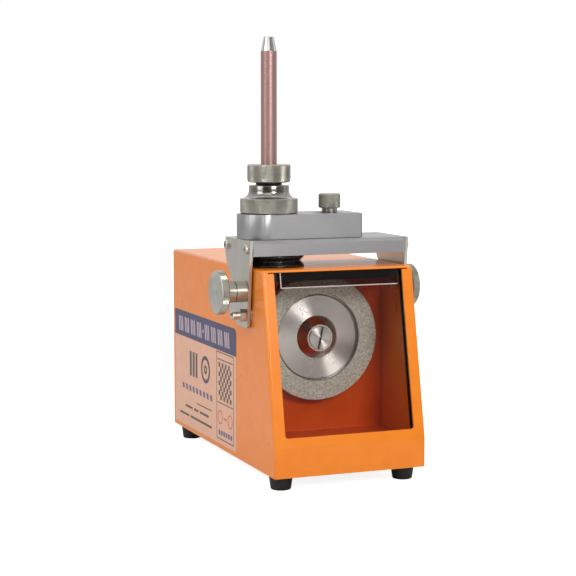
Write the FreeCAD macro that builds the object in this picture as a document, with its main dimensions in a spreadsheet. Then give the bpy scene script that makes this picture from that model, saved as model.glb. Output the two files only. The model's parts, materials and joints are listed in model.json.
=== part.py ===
import FreeCAD, Part
import math
import os

import Sketcher
from FreeCAD import Placement, Rotation, Vector

# Bench grinder for tungsten electrodes.
#
# Frame: millimetres, +Z up, the window faces -Y, +X to the right of someone looking at the window.
# The origin is on the ground, under the middle of the bounding box. The two clamp knobs stand out by
# different amounts, so everything is built about the casing's middle and then moved across by FRAME_SHIFT.
# Distances along the depth are counted back from the casing's front edge with front(), and heights
# are counted up from the casing's bottom edge with up().

SIZES = {
    # casing
    "casing_width": 130, "casing_depth": 255, "casing_height": 160, "skin": 1.5,
    "knee_height": 23.5, "lean": 27, "bend_radius": 2.5, "side_bend": 2, "rear_lip": 8, "floor_lip": 22,
    "end_lip": 12, "pan_rim": 15, "inside_top": 158.2,
    "window_half": 55.5, "window_low": 31, "window_lip": 1.6, "window_corner": 2.5,
    "foot_height": 12, "foot_top_radius": 9.75, "foot_base_radius": 8, "foot_x": 53,
    "foot_front": 18, "foot_rear": 240,
    # window and chamber
    "pane_setback": 2.2, "pane_thickness": 3, "pane_half": 57.5, "seal_inner": 55.7, "seal_outer": 61.5,
    "strip_half": 50.5, "strip_drop": 12.1, "liner_floor": 18, "liner_back": 83, "liner_gauge": 1.2,
    "chamber_half": 63.2,
    # spindle and wheel
    "spindle_x": 1, "spindle_height": 99, "shaft_radius": 6, "wheel_radius": 52, "wheel_face": 70,
    "wheel_thickness": 8, "wheel_recess": 5.2, "grit_thickness": 0.8, "grit_inner": 36.4,
    "flange_radius": 35.4, "flange_gauge": 1.6, "cone_base_radius": 17.8, "cone_end_radius": 11,
    "cone_rise": 6.6, "wheel_screw_radius": 9.8, "wheel_bore": 10,
    # motor
    "bracket_face": 90, "bracket_gauge": 3, "motor_radius": 42, "motor_wall": 2.8, "bell_length": 12,
    "can_length": 80, "bearing_bore": 6, "bearing_radius": 14, "bearing_width": 8, "rotor_radius": 23.4,
    "stator_bore": 24, "fan_radius": 36,
    # tilting bridge
    "pivot_back": 55, "pivot_height": 122.4, "pivot_radius": 3, "clamp_arm": 19.1, "tilt_range": 30,
    "plate_inner": 66.5, "plate_gauge": 2.5, "bridge_front": 42.3, "bridge_rear": 101.3,
    "bridge_top": 182.4, "bridge_gauge": 12.5, "bridge_chamfer": 2.7,
    "knob_radius": 17.5, "knob_head": 6.5, "knob_hub_radius": 8.5, "left_knob_face": 94,
    "left_hub_start": 78.7, "right_knob_face": 78.1, "right_hub_start": 69.3,
    # guide block and holder
    "block_front": 48, "block_rear": 89, "block_right": 30.5, "block_left": 69.8, "block_rise": 20,
    "holder_x": 43.3, "holder_back": 68.5, "slide_travel": 12, "thumb_x": 9.7, "body_gap": 0.3,
    "ring_radius": 23.3, "ring_height": 12, "neck_radius": 16.4, "neck_top": 225.2, "neck_cove": 6,
    "nut_radius": 17.35, "nut_low": 227.5, "nut_height": 14.4, "stem_radius": 6.4, "stem_length": 90.1,
    "cap_height": 11.7, "cap_end_radius": 4, "collet_radius": 4, "electrode_radius": 1.25,
    "bush_radius": 6.5, "sleeve_radius": 8, "sleeve_low": 165, "boss_radius": 12, "boss_top": 220,
    "running_gap": 0.05,
    # rubber boot
    "boot_x": 40, "boot_radius": 25.5, "boot_waist": 22.3, "boot_inner": 20.5,
    # screws and electrical parts
    "pan_head": 4, "pan_height": 2.4, "screw_radius": 2, "small_screw_radius": 1.5, "small_head": 2.8,
    "small_head_height": 2.2, "socket_x": 28, "socket_height": 32, "switch_x": 30,
    # side label
    "label_front": 87, "label_rear": 250, "label_low": 4, "label_top": 107, "label_gauge": 0.2,
}

doc = FreeCAD.newDocument("electrode_grinder")
sheet = doc.addObject("Spreadsheet::Sheet", "dims")


class Size:
    """A length or an angle, as its number and as the sheet expression that gives it."""

    def __init__(self, value, text):
        self.value = value
        self.text = text

    def __add__(self, other):
        return combined(self, "+", other)

    def __radd__(self, other):
        return combined(other, "+", self)

    def __sub__(self, other):
        return combined(self, "-", other)

    def __rsub__(self, other):
        return combined(other, "-", self)

    def __mul__(self, other):
        return combined(self, "*", other)

    def __rmul__(self, other):
        return combined(other, "*", self)

    def __truediv__(self, other):
        return combined(self, "/", other)

    def __neg__(self):
        return combined(0, "-", self)


OPERATIONS = {
    "+": lambda first, second: first + second,
    "-": lambda first, second: first - second,
    "*": lambda first, second: first * second,
    "/": lambda first, second: first / second,
}


def sized(value):
    """A plain number as a Size."""
    if isinstance(value, Size):
        return value
    return Size(value, f"{value:.6f}".rstrip("0").rstrip("."))


def combined(first, sign, second):
    first, second = sized(first), sized(second)
    return Size(OPERATIONS[sign](first.value, second.value), f"({first.text} {sign} {second.text})")


def root(size):
    return Size(math.sqrt(size.value), f"sqrt({size.text})")


def sine(angle):
    return Size(math.sin(math.radians(angle.value)), f"sin({angle.text})")


def cosine(angle):
    return Size(math.cos(math.radians(angle.value)), f"cos({angle.text})")


class Dimensions:
    """The driving dimensions, one attribute for each cell of the sheet."""


d = Dimensions()
for row, (alias, number) in enumerate(SIZES.items(), start=1):
    sheet.set(f"A{row}", alias)
    sheet.set(f"B{row}", str(number))
    sheet.setAlias(f"B{row}", alias)
    setattr(d, alias, Size(number, f"dims.{alias}"))
doc.recompute()

FRAME_SHIFT = (d.left_knob_face - d.right_knob_face) / 2
HALF_WIDTH = d.casing_width / 2
MID_DEPTH = (d.casing_depth + d.small_head_height) / 2
# How much longer a step across the leaning front wall is along Y than square to the wall.
LEAN_SLOPE = d.lean / (d.casing_height - d.knee_height)
LEAN_FACTOR = root(1 + LEAN_SLOPE * LEAN_SLOPE)


def front(distance):
    return sized(distance) - MID_DEPTH


def up(height):
    return sized(height) + d.foot_height


# ---------------------------------------------------------------------------------------------
# Helpers
# ---------------------------------------------------------------------------------------------

sub_parts = []


def bind(thing, path, size):
    thing.setExpression(path, sized(size).text)


def place(thing, x, y, z):
    for axis, size in (("x", x), ("y", y), ("z", z)):
        bind(thing, f"Placement.Base.{axis}", size)


def move_across(thing, distance):
    """Move an object along X from wherever its own expression puts it."""
    bound = {path.lstrip("."): text for path, text in thing.ExpressionEngine}
    x = bound.get("Placement.Base.x", "0")
    thing.setExpression("Placement.Base.x", f"{x} + {distance.text}")


def keep(thing, label):
    """Mark an object as a finished sub-part."""
    thing.Label = label
    sub_parts.append(thing)
    return thing


def box(name, low, high):
    thing = doc.addObject("Part::Box", name)
    for side, start, end in zip(("Length", "Width", "Height"), low, high):
        bind(thing, side, sized(end) - start)
    place(thing, *low)
    return thing


TURNS = {
    "z": Rotation(),
    "y": Rotation(Vector(1, 0, 0), -90),
    "x": Rotation(Vector(0, 1, 0), 90),
    "-x": Rotation(Vector(0, 1, 0), -90),
}


def along(axis, x, y, z, start):
    """The point reached from x, y, z by going start along the axis."""
    steps = {"z": (0, 0, 1), "y": (0, 1, 0), "x": (1, 0, 0), "-x": (-1, 0, 0)}[axis]
    return [sized(origin) + sized(start) * step for origin, step in zip((x, y, z), steps)]


def cylinder(name, axis, centre, radius, start, end):
    """A cylinder about an axis through centre, from start to end along that axis."""
    thing = doc.addObject("Part::Cylinder", name)
    bind(thing, "Radius", radius)
    bind(thing, "Height", sized(end) - start)
    thing.Placement = Placement(Vector(), TURNS[axis])
    place(thing, *along(axis, *centre, start))
    return thing


def hexagon(name, axis, centre, across_flats, start, end):
    thing = doc.addObject("Part::Prism", name)
    thing.Polygon = 6
    bind(thing, "Circumradius", sized(across_flats) / math.sqrt(3))
    bind(thing, "Height", sized(end) - start)
    thing.Placement = Placement(Vector(), TURNS[axis])
    place(thing, *along(axis, *centre, start))
    return thing


def cut(name, base, tools):
    thing = doc.addObject("Part::Cut", name)
    thing.Base = base
    thing.Tool = tools[0] if len(tools) == 1 else fuse(f"{name}_tools", tools)
    return thing


def fuse(name, shapes):
    thing = doc.addObject("Part::MultiFuse", name)
    thing.Shapes = shapes
    return thing


def group(name, members):
    thing = doc.addObject("Part::Compound", name)
    thing.Links = members
    return thing


def new_body(name):
    return doc.addObject("PartDesign::Body", name)


def new_sketch(body, name, role):
    """A sketch on one of the body's own origin planes."""
    sketch = body.newObject("Sketcher::SketchObject", name)
    plane = [feature for feature in body.Origin.OriginFeatures if feature.Role == role][0]
    sketch.AttachmentSupport = [(plane, "")]
    sketch.MapMode = "FlatFace"
    return sketch


def pin_point(sketch, geometry, point, corner):
    """Fix a point of the sketch at two distances from the sketch's origin."""
    for kind, size in zip(("DistanceX", "DistanceY"), corner):
        size = sized(size)
        index = sketch.addConstraint(Sketcher.Constraint(kind, -1, 1, geometry, point, size.value))
        sketch.setExpression(f"Constraints[{index}]", size.text)


def add_circle(sketch, centre, radius):
    middle = Vector(sized(centre[0]).value, sized(centre[1]).value, 0)
    circle = sketch.addGeometry(Part.Circle(middle, Vector(0, 0, 1), sized(radius).value), False)
    pin_point(sketch, circle, 3, centre)
    index = sketch.addConstraint(Sketcher.Constraint("Radius", circle, sized(radius).value))
    sketch.setExpression(f"Constraints[{index}]", sized(radius).text)


def corner_arc(before, corner, after, radius):
    """The two ends and the middle of the arc that rounds a corner."""
    to_before = (before - corner).normalize()
    to_after = (after - corner).normalize()
    half_angle = to_before.getAngle(to_after) / 2
    reach = radius / math.tan(half_angle)
    bisector = (to_before + to_after).normalize()
    middle = corner + bisector * (radius / math.sin(half_angle) - radius)
    return corner + to_before * reach, middle, corner + to_after * reach


def add_outline(sketch, corners):
    """A closed outline of straight sides. A corner is (x, y), or (x, y, radius) where it is rounded."""
    points = [Vector(sized(corner[0]).value, sized(corner[1]).value, 0) for corner in corners]
    count = len(corners)
    starts = list(points)
    ends = list(points)
    arcs = {}
    for index, corner in enumerate(corners):
        if len(corner) == 3:
            radius = sized(corner[2]).value
            around = (points[index - 1], points[index], points[(index + 1) % count])
            ends[index], middle, starts[index] = corner_arc(*around, radius)
            arc = Part.Arc(ends[index], middle, starts[index])
            arcs[index] = sketch.addGeometry(arc, False)
    sides = []
    for index in range(count):
        side = Part.LineSegment(starts[index], ends[(index + 1) % count])
        sides.append(sketch.addGeometry(side, False))
    for index, corner in enumerate(corners):
        arriving, leaving = sides[index - 1], sides[index]
        if index not in arcs:
            sketch.addConstraint(Sketcher.Constraint("Coincident", arriving, 2, leaving, 1))
            pin_point(sketch, leaving, 1, corner)
            continue
        arc = arcs[index]
        forward = (sketch.getPoint(arc, 1) - ends[index]).Length < 1e-6
        arc_ends = (1, 2) if forward else (2, 1)
        sketch.addConstraint(Sketcher.Constraint("Tangent", arriving, 2, arc, arc_ends[0]))
        sketch.addConstraint(Sketcher.Constraint("Tangent", leaving, 1, arc, arc_ends[1]))
        radius_index = sketch.addConstraint(Sketcher.Constraint("Radius", arc, sized(corner[2]).value))
        sketch.setExpression(f"Constraints[{radius_index}]", sized(corner[2]).text)
        apex = sketch.addGeometry(Part.Point(points[index]), True)
        sketch.addConstraint(Sketcher.Constraint("PointOnObject", apex, 1, arriving))
        sketch.addConstraint(Sketcher.Constraint("PointOnObject", apex, 1, leaving))
        pin_point(sketch, apex, 1, corner)


PLANES = {"xy": "XY_Plane", "xz": "XZ_Plane", "yz": "YZ_Plane"}


def plate(name, plane, low, high, corners, circles=()):
    """An outline on a plane, padded from low to high along the third axis."""
    body = new_body(name)
    sketch = new_sketch(body, f"{name}_outline", PLANES[plane])
    add_outline(sketch, corners)
    for centre, radius in circles:
        add_circle(sketch, centre, radius)
    pad = body.newObject("PartDesign::Pad", f"{name}_pad")
    pad.Profile = sketch
    bind(pad, "Length", sized(high) - low)
    # A pad on the XZ plane grows towards -Y.
    base = {"xy": (0, 0, low), "xz": (0, high, 0), "yz": (low, 0, 0)}[plane]
    place(body, *base)
    return body


def turned(name, axis, centre, profile):
    """A round piece: a profile of (radius, distance along the axis) spun about the axis."""
    body = new_body(name)
    sketch = new_sketch(body, f"{name}_profile", "XZ_Plane")
    add_outline(sketch, profile)
    spin = body.newObject("PartDesign::Revolution", f"{name}_spin")
    spin.Profile = sketch
    spin.ReferenceAxis = (sketch, ["V_Axis"])
    spin.Angle = 360
    body.Placement = Placement(Vector(), TURNS[axis])
    place(body, *centre)
    return body


def ring_profile(inner, outer, start, end):
    return [(inner, start), (outer, start), (outer, end), (inner, end)]


def pan_screw(name, axis, centre, head_base, tip, head, head_height, shank):
    """A pan-head screw with a cross recess, its head outwards along the axis."""
    crown = sized(head_base) + head_height
    profile = [(0, tip), (shank, tip), (shank, head_base), (head, head_base), (head, crown, 1.1),
               (0, crown)]
    screw = turned(name, axis, centre, profile)
    reach = sized(head) * 0.55
    floor = crown - sized(head_height) * 0.55
    arm = 0.45
    bars = []
    for number, (wide, high) in enumerate(((reach, arm), (arm, reach))):
        left, bottom = -sized(wide), -sized(high)
        corners = [(left, bottom), (wide, bottom), (wide, high), (left, high)]
        bar = new_body(f"{name}_bar{number}")
        sketch = new_sketch(bar, f"{name}_bar_outline{number}", "XY_Plane")
        add_outline(sketch, corners)
        pad = bar.newObject("PartDesign::Pad", f"{name}_bar_pad{number}")
        pad.Profile = sketch
        bind(pad, "Length", head_height)
        bar.Placement = Placement(Vector(), TURNS[axis])
        place(bar, *along(axis, *centre, floor))
        bars.append(bar)
    return cut(f"{name}_crossed", screw, bars)


SIDES = (("left", "-x"), ("right", "x"))


def across(side, inner, outer):
    """The lower and the upper X of something that spans inner to outer on one side of the middle."""
    if side == "left":
        return -sized(outer), -sized(inner)
    return inner, outer


# ---------------------------------------------------------------------------------------------
# Casing
# ---------------------------------------------------------------------------------------------

FEET = [(x, y) for x in (-d.foot_x, d.foot_x) for y in (front(d.foot_front), front(d.foot_rear))]
PIVOT = (front(d.pivot_back), up(d.pivot_height))
CLAMP = (front(d.pivot_back), up(d.pivot_height + d.clamp_arm))
SPINDLE = (d.spindle_x, sized(0), up(d.spindle_height))
INNER_HALF = HALF_WIDTH - d.skin
BRACKET_SCREWS = [(d.spindle_x + x, front(y)) for x in (-31, 31) for y in (104, 118)]
LIP_SCREWS = [(x, up(z)) for x in (-60.5, 60.5) for z in (30, 85, 140)]


def front_wall(height, depth):
    """The Y of a surface parallel to the leaning front wall, depth behind it, at a given height."""
    return front(LEAN_SLOPE * (sized(height) - d.knee_height) + LEAN_FACTOR * depth)


def leaning_slab(name, left, right, low, high, near, far):
    """A slab parallel to the leaning front wall, between two depths behind the wall's outer face."""
    corners = [
        (front_wall(low, near), up(low)),
        (front_wall(low, far), up(low)),
        (front_wall(high, far), up(high)),
        (front_wall(high, near), up(high)),
    ]
    return plate(name, "yz", left, right, corners)


def casing_outline(inset, rear):
    knee_inset = inset * (LEAN_FACTOR - 1) / LEAN_SLOPE if inset.value else sized(0)
    top = up(d.casing_height - inset)
    return [
        (front(inset), up(inset)),
        (front(rear), up(inset)),
        (front(rear), top),
        (front_wall(d.casing_height - inset, inset), top, d.bend_radius),
        (front(inset), up(d.knee_height - knee_inset), d.bend_radius * 2),
    ]


def long_edges(shape):
    """The names of the edges where the sides meet the front and the top."""
    names = []
    whole = shape.BoundBox
    for number, edge in enumerate(shape.Edges, start=1):
        bounds = edge.BoundBox
        on_side = bounds.XLength < 0.01
        at_rear = bounds.YMin > whole.YMax - 0.01
        at_bottom = bounds.ZMax < whole.ZMin + 0.01
        if on_side and not at_rear and not at_bottom:
            names.append(f"Edge{number}")
    return names


def make_casing():
    outer = plate("casing_outer", "yz", -HALF_WIDTH, HALF_WIDTH, casing_outline(sized(0), d.casing_depth))
    doc.recompute()
    sharp = outer.Tip
    rounded = outer.newObject("PartDesign::Fillet", "casing_bends")
    rounded.Base = (sharp, long_edges(sharp.Shape))
    bind(rounded, "Radius", d.side_bend)
    outer.Tip = rounded
    hollow = plate("casing_hollow", "yz", -INNER_HALF, INNER_HALF,
                   casing_outline(d.skin, d.casing_depth - d.skin))
    rear_half = HALF_WIDTH - d.rear_lip
    rear_opening = box("rear_opening", (-rear_half, front(d.casing_depth - 10), up(d.skin)),
                       (rear_half, front(d.casing_depth + 1), up(d.casing_height - d.rear_lip)))
    floor_half = HALF_WIDTH - d.floor_lip
    floor_opening = box("floor_opening", (-floor_half, front(d.end_lip), up(-1)),
                        (floor_half, front(d.casing_depth - d.end_lip), up(d.skin * 2)))
    window_top = up(d.casing_height - d.window_lip)
    window = plate("window_opening", "xz", front(-1), front(40), [
        (-d.window_half, up(d.window_low), d.window_corner),
        (d.window_half, up(d.window_low), d.window_corner),
        (d.window_half, window_top),
        (-d.window_half, window_top),
    ])
    # The guide sleeve swings through this opening, under the boot.
    left, right, corner = -d.boot_x - 12, -d.boot_x + 16, 8
    near, far = front(43), front(75)
    boot_opening = plate("boot_opening", "xy", up(d.casing_height - 4), up(d.casing_height + 4), [
        (left, near, corner), (right, near, corner), (right, far, corner), (left, far, corner),
    ])
    tools = [hollow, rear_opening, floor_opening, window, boot_opening]
    relief_height, relief_length, clamp_clearance = 0.8, 5, 3.5
    start, end = HALF_WIDTH - 5, HALF_WIDTH + 2
    for side, axis in SIDES:
        low_x, high_x = across(side, d.window_half, d.window_half + relief_length)
        tools.append(box(f"bend_relief_{side}", (low_x, front(20), window_top - relief_height),
                         (high_x, front(30), window_top)))
        tools.append(cylinder(f"pivot_hole_{side}", axis, (0, *PIVOT), d.pivot_radius, start, end))
        tools.append(cylinder(f"clamp_hole_{side}", axis, (0, *CLAMP), clamp_clearance, start, end))
    for number, (x, y) in enumerate(FEET):
        tools.append(cylinder(f"lip_foot_hole{number}", "z", (x, y, 0), d.screw_radius, up(-1), up(2)))
    for number, (x, z) in enumerate(LIP_SCREWS):
        tools.append(cylinder(f"lip_screw_hole{number}", "y", (x, 0, z), d.small_screw_radius,
                              front(d.casing_depth - 3), front(d.casing_depth + 1)))
    keep(cut("casing", outer, tools), "casing_shell")


def make_base_pan():
    half = d.chamber_half
    low, top, rim = up(d.skin), up(d.skin * 2), up(d.pan_rim)
    inner = half - d.skin
    near, far = front(d.skin + d.body_gap), front(d.casing_depth - d.skin * 2 - d.body_gap)
    tray = plate("pan_tray", "xz", near, far, [
        (-half, low, 2), (half, low, 2), (half, rim), (inner, rim),
        (inner, top), (-inner, top), (-inner, rim), (-half, rim),
    ])
    holes = []
    for number, (x, y) in enumerate(FEET + BRACKET_SCREWS):
        holes.append(cylinder(f"pan_hole{number}", "z", (x, y, 0), d.screw_radius, up(0), up(4)))
    keep(cut("pan", tray, holes), "base_pan")


def make_rear_panel():
    half = d.chamber_half
    near, far = front(d.casing_depth - d.skin * 2), front(d.casing_depth - d.skin)
    low, high = up(d.skin * 2 + d.body_gap), up(d.inside_top)
    sheet_metal = plate("panel_sheet", "xz", near, far, [
        (-half, low, 2), (half, low, 2), (half, high, 2), (-half, high, 2),
    ])
    holes = []
    for number, (x, z) in enumerate(LIP_SCREWS):
        holes.append(cylinder(f"panel_hole{number}", "y", (x, 0, z), d.small_screw_radius,
                              near - 1, far + 1))
    slot_half, slot_height, slot_round, slot_pitch = 20, 3, 1.45, 9
    for side, column in (("left", -27), ("right", 27)):
        for row in range(8):
            slot_low = up(68 + slot_pitch * row)
            left, right = column - slot_half, column + slot_half
            holes.append(plate(f"louvre_{side}{row}", "xz", near - 1, far + 1, [
                (left, slot_low, slot_round), (right, slot_low, slot_round),
                (right, slot_low + slot_height, slot_round), (left, slot_low + slot_height, slot_round),
            ]))
    holes.append(box("socket_cutout", (d.socket_x - 13.6, near - 1, up(d.socket_height - 9.9)),
                     (d.socket_x + 13.6, far + 1, up(d.socket_height + 9.9))))
    for number, offset in enumerate((-20, 20)):
        holes.append(cylinder(f"socket_fixing{number}", "y", (d.socket_x + offset, 0, up(d.socket_height)),
                              d.small_screw_radius, near - 1, far + 1))
    holes.append(box("switch_cutout", (-d.switch_x - 13, near - 1, up(d.socket_height - 10)),
                     (-d.switch_x + 13, far + 1, up(d.socket_height + 10))))
    keep(cut("panel", sheet_metal, holes), "rear_panel")
    screws = []
    for number, (x, z) in enumerate(LIP_SCREWS):
        head_base = front(d.casing_depth)
        screws.append(pan_screw(f"panel_screw{number}", "y", (x, 0, z), head_base, head_base - 7,
                                d.small_head, d.small_head_height, d.small_screw_radius))
    keep(group("panel_screws", screws), "rear_panel_screws")


def make_feet():
    feet, screws, nuts = [], [], []
    recess, recess_depth = 4.2, 5
    for number, (x, y) in enumerate(FEET):
        feet.append(turned(f"foot{number}", "z", (x, y, 0), [
            (recess, 0), (d.foot_base_radius, 0, 1.2), (d.foot_top_radius, d.foot_height),
            (d.screw_radius, d.foot_height), (d.screw_radius, recess_depth), (recess, recess_depth),
        ]))
        screws.append(turned(f"foot_screw{number}", "z", (x, y, 0), [
            (0, recess_depth - d.pan_height), (d.pan_head, recess_depth - d.pan_height, 1),
            (d.pan_head, recess_depth), (d.screw_radius, recess_depth),
            (d.screw_radius, up(8)), (0, up(8)),
        ]))
        blank = hexagon(f"foot_nut{number}", "z", (x, y, 0), 7, up(3), up(6.2))
        bore = cylinder(f"foot_nut_bore{number}", "z", (x, y, 0), d.screw_radius, up(2), up(7))
        nuts.append(cut(f"foot_nut_cut{number}", blank, [bore]))
    keep(group("feet", feet), "rubber_feet")
    keep(group("foot_screw_set", screws), "foot_screws")
    keep(group("foot_nut_set", nuts), "foot_nuts")


def make_window():
    near = d.skin + d.pane_setback
    far = near + d.pane_thickness
    low, top = 26, 157.6
    keep(leaning_slab("pane", -d.pane_half, d.pane_half, low, top, near, far), "window_pane")
    seals = []
    for side, axis in SIDES:
        bar_span, groove_span = across(side, d.seal_inner, d.seal_outer), across(side, 0, d.pane_half)
        bar = leaning_slab(f"seal_{side}", *bar_span, low, top, d.skin, far + 1.5)
        groove = leaning_slab(f"seal_groove_{side}", *groove_span, low - 1, top + 1, near, far)
        seals.append(cut(f"seal_cut_{side}", bar, [groove]))
    keep(group("seals", seals), "pane_seals")
    strip_top = d.casing_height - d.window_lip - 0.4
    strip = leaning_slab("strip", -d.strip_half, d.strip_half, strip_top - d.strip_drop, strip_top, 0, near)
    keep(strip, "window_strip")


def make_chamber():
    half, start = d.chamber_half, 3
    floor, back, gauge, top = d.liner_floor, d.liner_back, d.liner_gauge, d.inside_top
    bent = plate("liner_bent", "yz", -half, half, [
        (front(start), up(floor)), (front(back + gauge), up(floor), gauge * 2),
        (front(back + gauge), up(top)), (front(back), up(top)),
        (front(back), up(floor + gauge), gauge), (front(start), up(floor + gauge)),
    ])
    hub_hole = cylinder("hub_hole", "y", SPINDLE, 18, front(back - 2), front(back + 4))
    keep(cut("liner", bent, [hub_hole]), "chamber_liner")


def make_label():
    outer = HALF_WIDTH + d.label_gauge
    keep(plate("label_film", "yz", -outer, -HALF_WIDTH, [
        (front(d.label_front), up(d.label_low)), (front(d.label_rear), up(d.label_low)),
        (front(d.label_rear), up(d.label_top)), (front(d.label_front), up(d.label_top), 5),
    ]), "side_label")


# ---------------------------------------------------------------------------------------------
# Motor, spindle and wheel, all about the spindle axis
# ---------------------------------------------------------------------------------------------

BELL_FACE = d.bracket_face + d.bracket_gauge
CAN_FRONT = BELL_FACE + d.bell_length
CAN_REAR = CAN_FRONT + d.can_length
BELL_REAR = CAN_REAR + d.bell_length
FACE_BOLT_CIRCLE = 30
BEARING_SEATS = (BELL_FACE + 5, BELL_REAR - 5 - d.bearing_width)
SCREW_SHANK = 4
# The wheel is a shallow cup, and the flange clamps its web inside the grit ring.
RECESS_FLOOR = d.wheel_face + d.wheel_recess


def around_spindle(radius, angle):
    """A point on a circle about the spindle axis, as its X and Z."""
    turn = math.radians(angle)
    return d.spindle_x + radius * math.cos(turn), SPINDLE[2] + radius * math.sin(turn)


def make_motor_mount():
    face, gauge = d.bracket_face, d.bracket_gauge
    half, low, top, toe = d.motor_radius, d.skin * 2, 146, 36
    bent = plate("bracket_bent", "yz", d.spindle_x - half, d.spindle_x + half, [
        (front(face), up(low)), (front(face + toe), up(low)), (front(face + toe), up(low + gauge)),
        (front(face + gauge), up(low + gauge), 2), (front(face + gauge), up(top)), (front(face), up(top)),
    ])
    tools = [cylinder("bracket_bore", "y", SPINDLE, 16, front(face - 1), front(face + 4))]
    bolts = []
    for number in range(4):
        x, z = around_spindle(FACE_BOLT_CIRCLE, 45 + 90 * number)
        tools.append(cylinder(f"face_hole{number}", "y", (x, 0, z), d.screw_radius,
                              front(face - 1), front(face + 4)))
        bolts.append(turned(f"face_bolt{number}", "y", (x, 0, z), [
            (0, front(face - d.pan_height)), (d.pan_head, front(face - d.pan_height), 1),
            (d.pan_head, front(face)), (d.screw_radius, front(face)),
            (d.screw_radius, front(BELL_FACE + 4)), (0, front(BELL_FACE + 4)),
        ]))
    screws = []
    for number, (x, y) in enumerate(BRACKET_SCREWS):
        tools.append(cylinder(f"base_hole{number}", "z", (x, y, 0), d.screw_radius, up(2), up(7)))
        screws.append(turned(f"bracket_screw{number}", "z", (x, y, 0), [
            (0, up(d.skin - d.pan_height)), (d.pan_head, up(d.skin - d.pan_height), 1),
            (d.pan_head, up(d.skin)), (d.screw_radius, up(d.skin)), (d.screw_radius, up(9)), (0, up(9)),
        ]))
    keep(cut("bracket", bent, tools), "motor_bracket")
    keep(group("face_bolts", bolts), "motor_face_bolts")
    keep(group("bracket_screw_set", screws), "bracket_screws")


def make_motor():
    outer, inner = d.motor_radius, d.motor_radius - d.motor_wall
    seat_low, seat_high = (front(seat) for seat in BEARING_SEATS)
    width, race = d.bearing_width, d.bearing_radius
    boss = 19
    # Wider than the bearings' inner rings, which turn with the shaft.
    bell_bore = 9
    front_bell = turned("front_bell", "y", SPINDLE, [
        (bell_bore, front(BELL_FACE)), (outer, front(BELL_FACE), 2), (outer, front(CAN_FRONT)),
        (inner, front(CAN_FRONT)), (inner, front(BELL_FACE + 5)), (boss, front(BELL_FACE + 5)),
        (boss, seat_low + width), (race, seat_low + width), (race, seat_low), (bell_bore, seat_low),
    ])
    bolt_holes = []
    for number in range(4):
        x, z = around_spindle(FACE_BOLT_CIRCLE, 45 + 90 * number)
        bolt_holes.append(cylinder(f"bell_tapping{number}", "y", (x, 0, z), d.screw_radius,
                                   front(BELL_FACE - 1), front(BELL_FACE + 4)))
    keep(cut("front_bell_drilled", front_bell, bolt_holes), "motor_front_bell")
    keep(turned("rear_bell", "y", SPINDLE, [
        (bell_bore, seat_high + width), (race, seat_high + width), (race, seat_high), (boss, seat_high),
        (boss, front(BELL_REAR - 5)), (inner, front(BELL_REAR - 5)), (inner, front(CAN_REAR)),
        (outer, front(CAN_REAR)), (outer, front(BELL_REAR), 2), (bell_bore, front(BELL_REAR)),
    ]), "motor_rear_bell")
    keep(turned("can", "y", SPINDLE, ring_profile(inner, outer, front(CAN_FRONT), front(CAN_REAR))),
         "motor_can")
    core_front, core_rear = CAN_FRONT + 11, CAN_REAR - 11
    keep(turned("stator", "y", SPINDLE, ring_profile(d.stator_bore, inner, front(core_front),
                                                     front(core_rear))), "stator_core")
    coil_inner, coil_outer, coil_length, coil_round = 26, 36, 7, 2
    front_coil = turned("front_coil", "y", SPINDLE, [
        (coil_inner, front(core_front - coil_length), coil_round),
        (coil_outer, front(core_front - coil_length), coil_round),
        (coil_outer, front(core_front)), (coil_inner, front(core_front)),
    ])
    rear_coil = turned("rear_coil", "y", SPINDLE, [
        (coil_inner, front(core_rear)), (coil_outer, front(core_rear)),
        (coil_outer, front(core_rear + coil_length), coil_round),
        (coil_inner, front(core_rear + coil_length), coil_round),
    ])
    keep(group("coils", [front_coil, rear_coil]), "stator_windings")
    keep(turned("rotor", "y", SPINDLE, ring_profile(d.shaft_radius, d.rotor_radius, front(core_front),
                                                    front(core_rear))), "rotor_core")


def make_bearings():
    inner_rings, outer_rings, balls = [], [], []
    pitch, ball_radius = 10, 1.75
    groove_inner, groove_outer = 8.2, 11.8
    for number, seat in enumerate(BEARING_SEATS):
        start, end = front(seat), front(seat + d.bearing_width)
        inner_rings.append(turned(f"inner_ring{number}", "y", SPINDLE,
                                  ring_profile(d.bearing_bore, groove_inner, start, end)))
        outer_rings.append(turned(f"outer_ring{number}", "y", SPINDLE,
                                  ring_profile(groove_outer, d.bearing_radius, start, end)))
        for step in range(9):
            ball = doc.addObject("Part::Sphere", f"ball{number}_{step}")
            bind(ball, "Radius", ball_radius)
            x, z = around_spindle(pitch, 40 * step)
            place(ball, x, start + d.bearing_width / 2, z)
            balls.append(ball)
    keep(group("inner_rings", inner_rings), "bearing_inner_rings")
    keep(group("outer_rings", outer_rings), "bearing_outer_rings")
    keep(group("balls", balls), "bearing_balls")


def make_spindle():
    shaft_front, shaft_rear = front(RECESS_FLOOR + 0.8), front(BELL_REAR + 16)
    tapping_end = front(d.wheel_face + 23)
    keep(turned("shaft", "y", SPINDLE, [
        (SCREW_SHANK, shaft_front), (d.shaft_radius, shaft_front), (d.shaft_radius, shaft_rear, 1),
        (0, shaft_rear), (0, tapping_end), (SCREW_SHANK, tapping_end),
    ]), "motor_shaft")
    wheel_back = d.wheel_face + d.wheel_thickness
    shoulder, shoulder_end, collar, collar_end = 17, wheel_back + 3.5, 12, wheel_back + 11
    keep(turned("hub", "y", SPINDLE, [
        (d.shaft_radius, shaft_front), (d.wheel_bore, shaft_front),
        (d.wheel_bore, front(wheel_back)), (shoulder, front(wheel_back)),
        (shoulder, front(shoulder_end)), (collar, front(shoulder_end)),
        (collar, front(collar_end)), (d.shaft_radius, front(collar_end)),
    ]), "wheel_hub")


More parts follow.
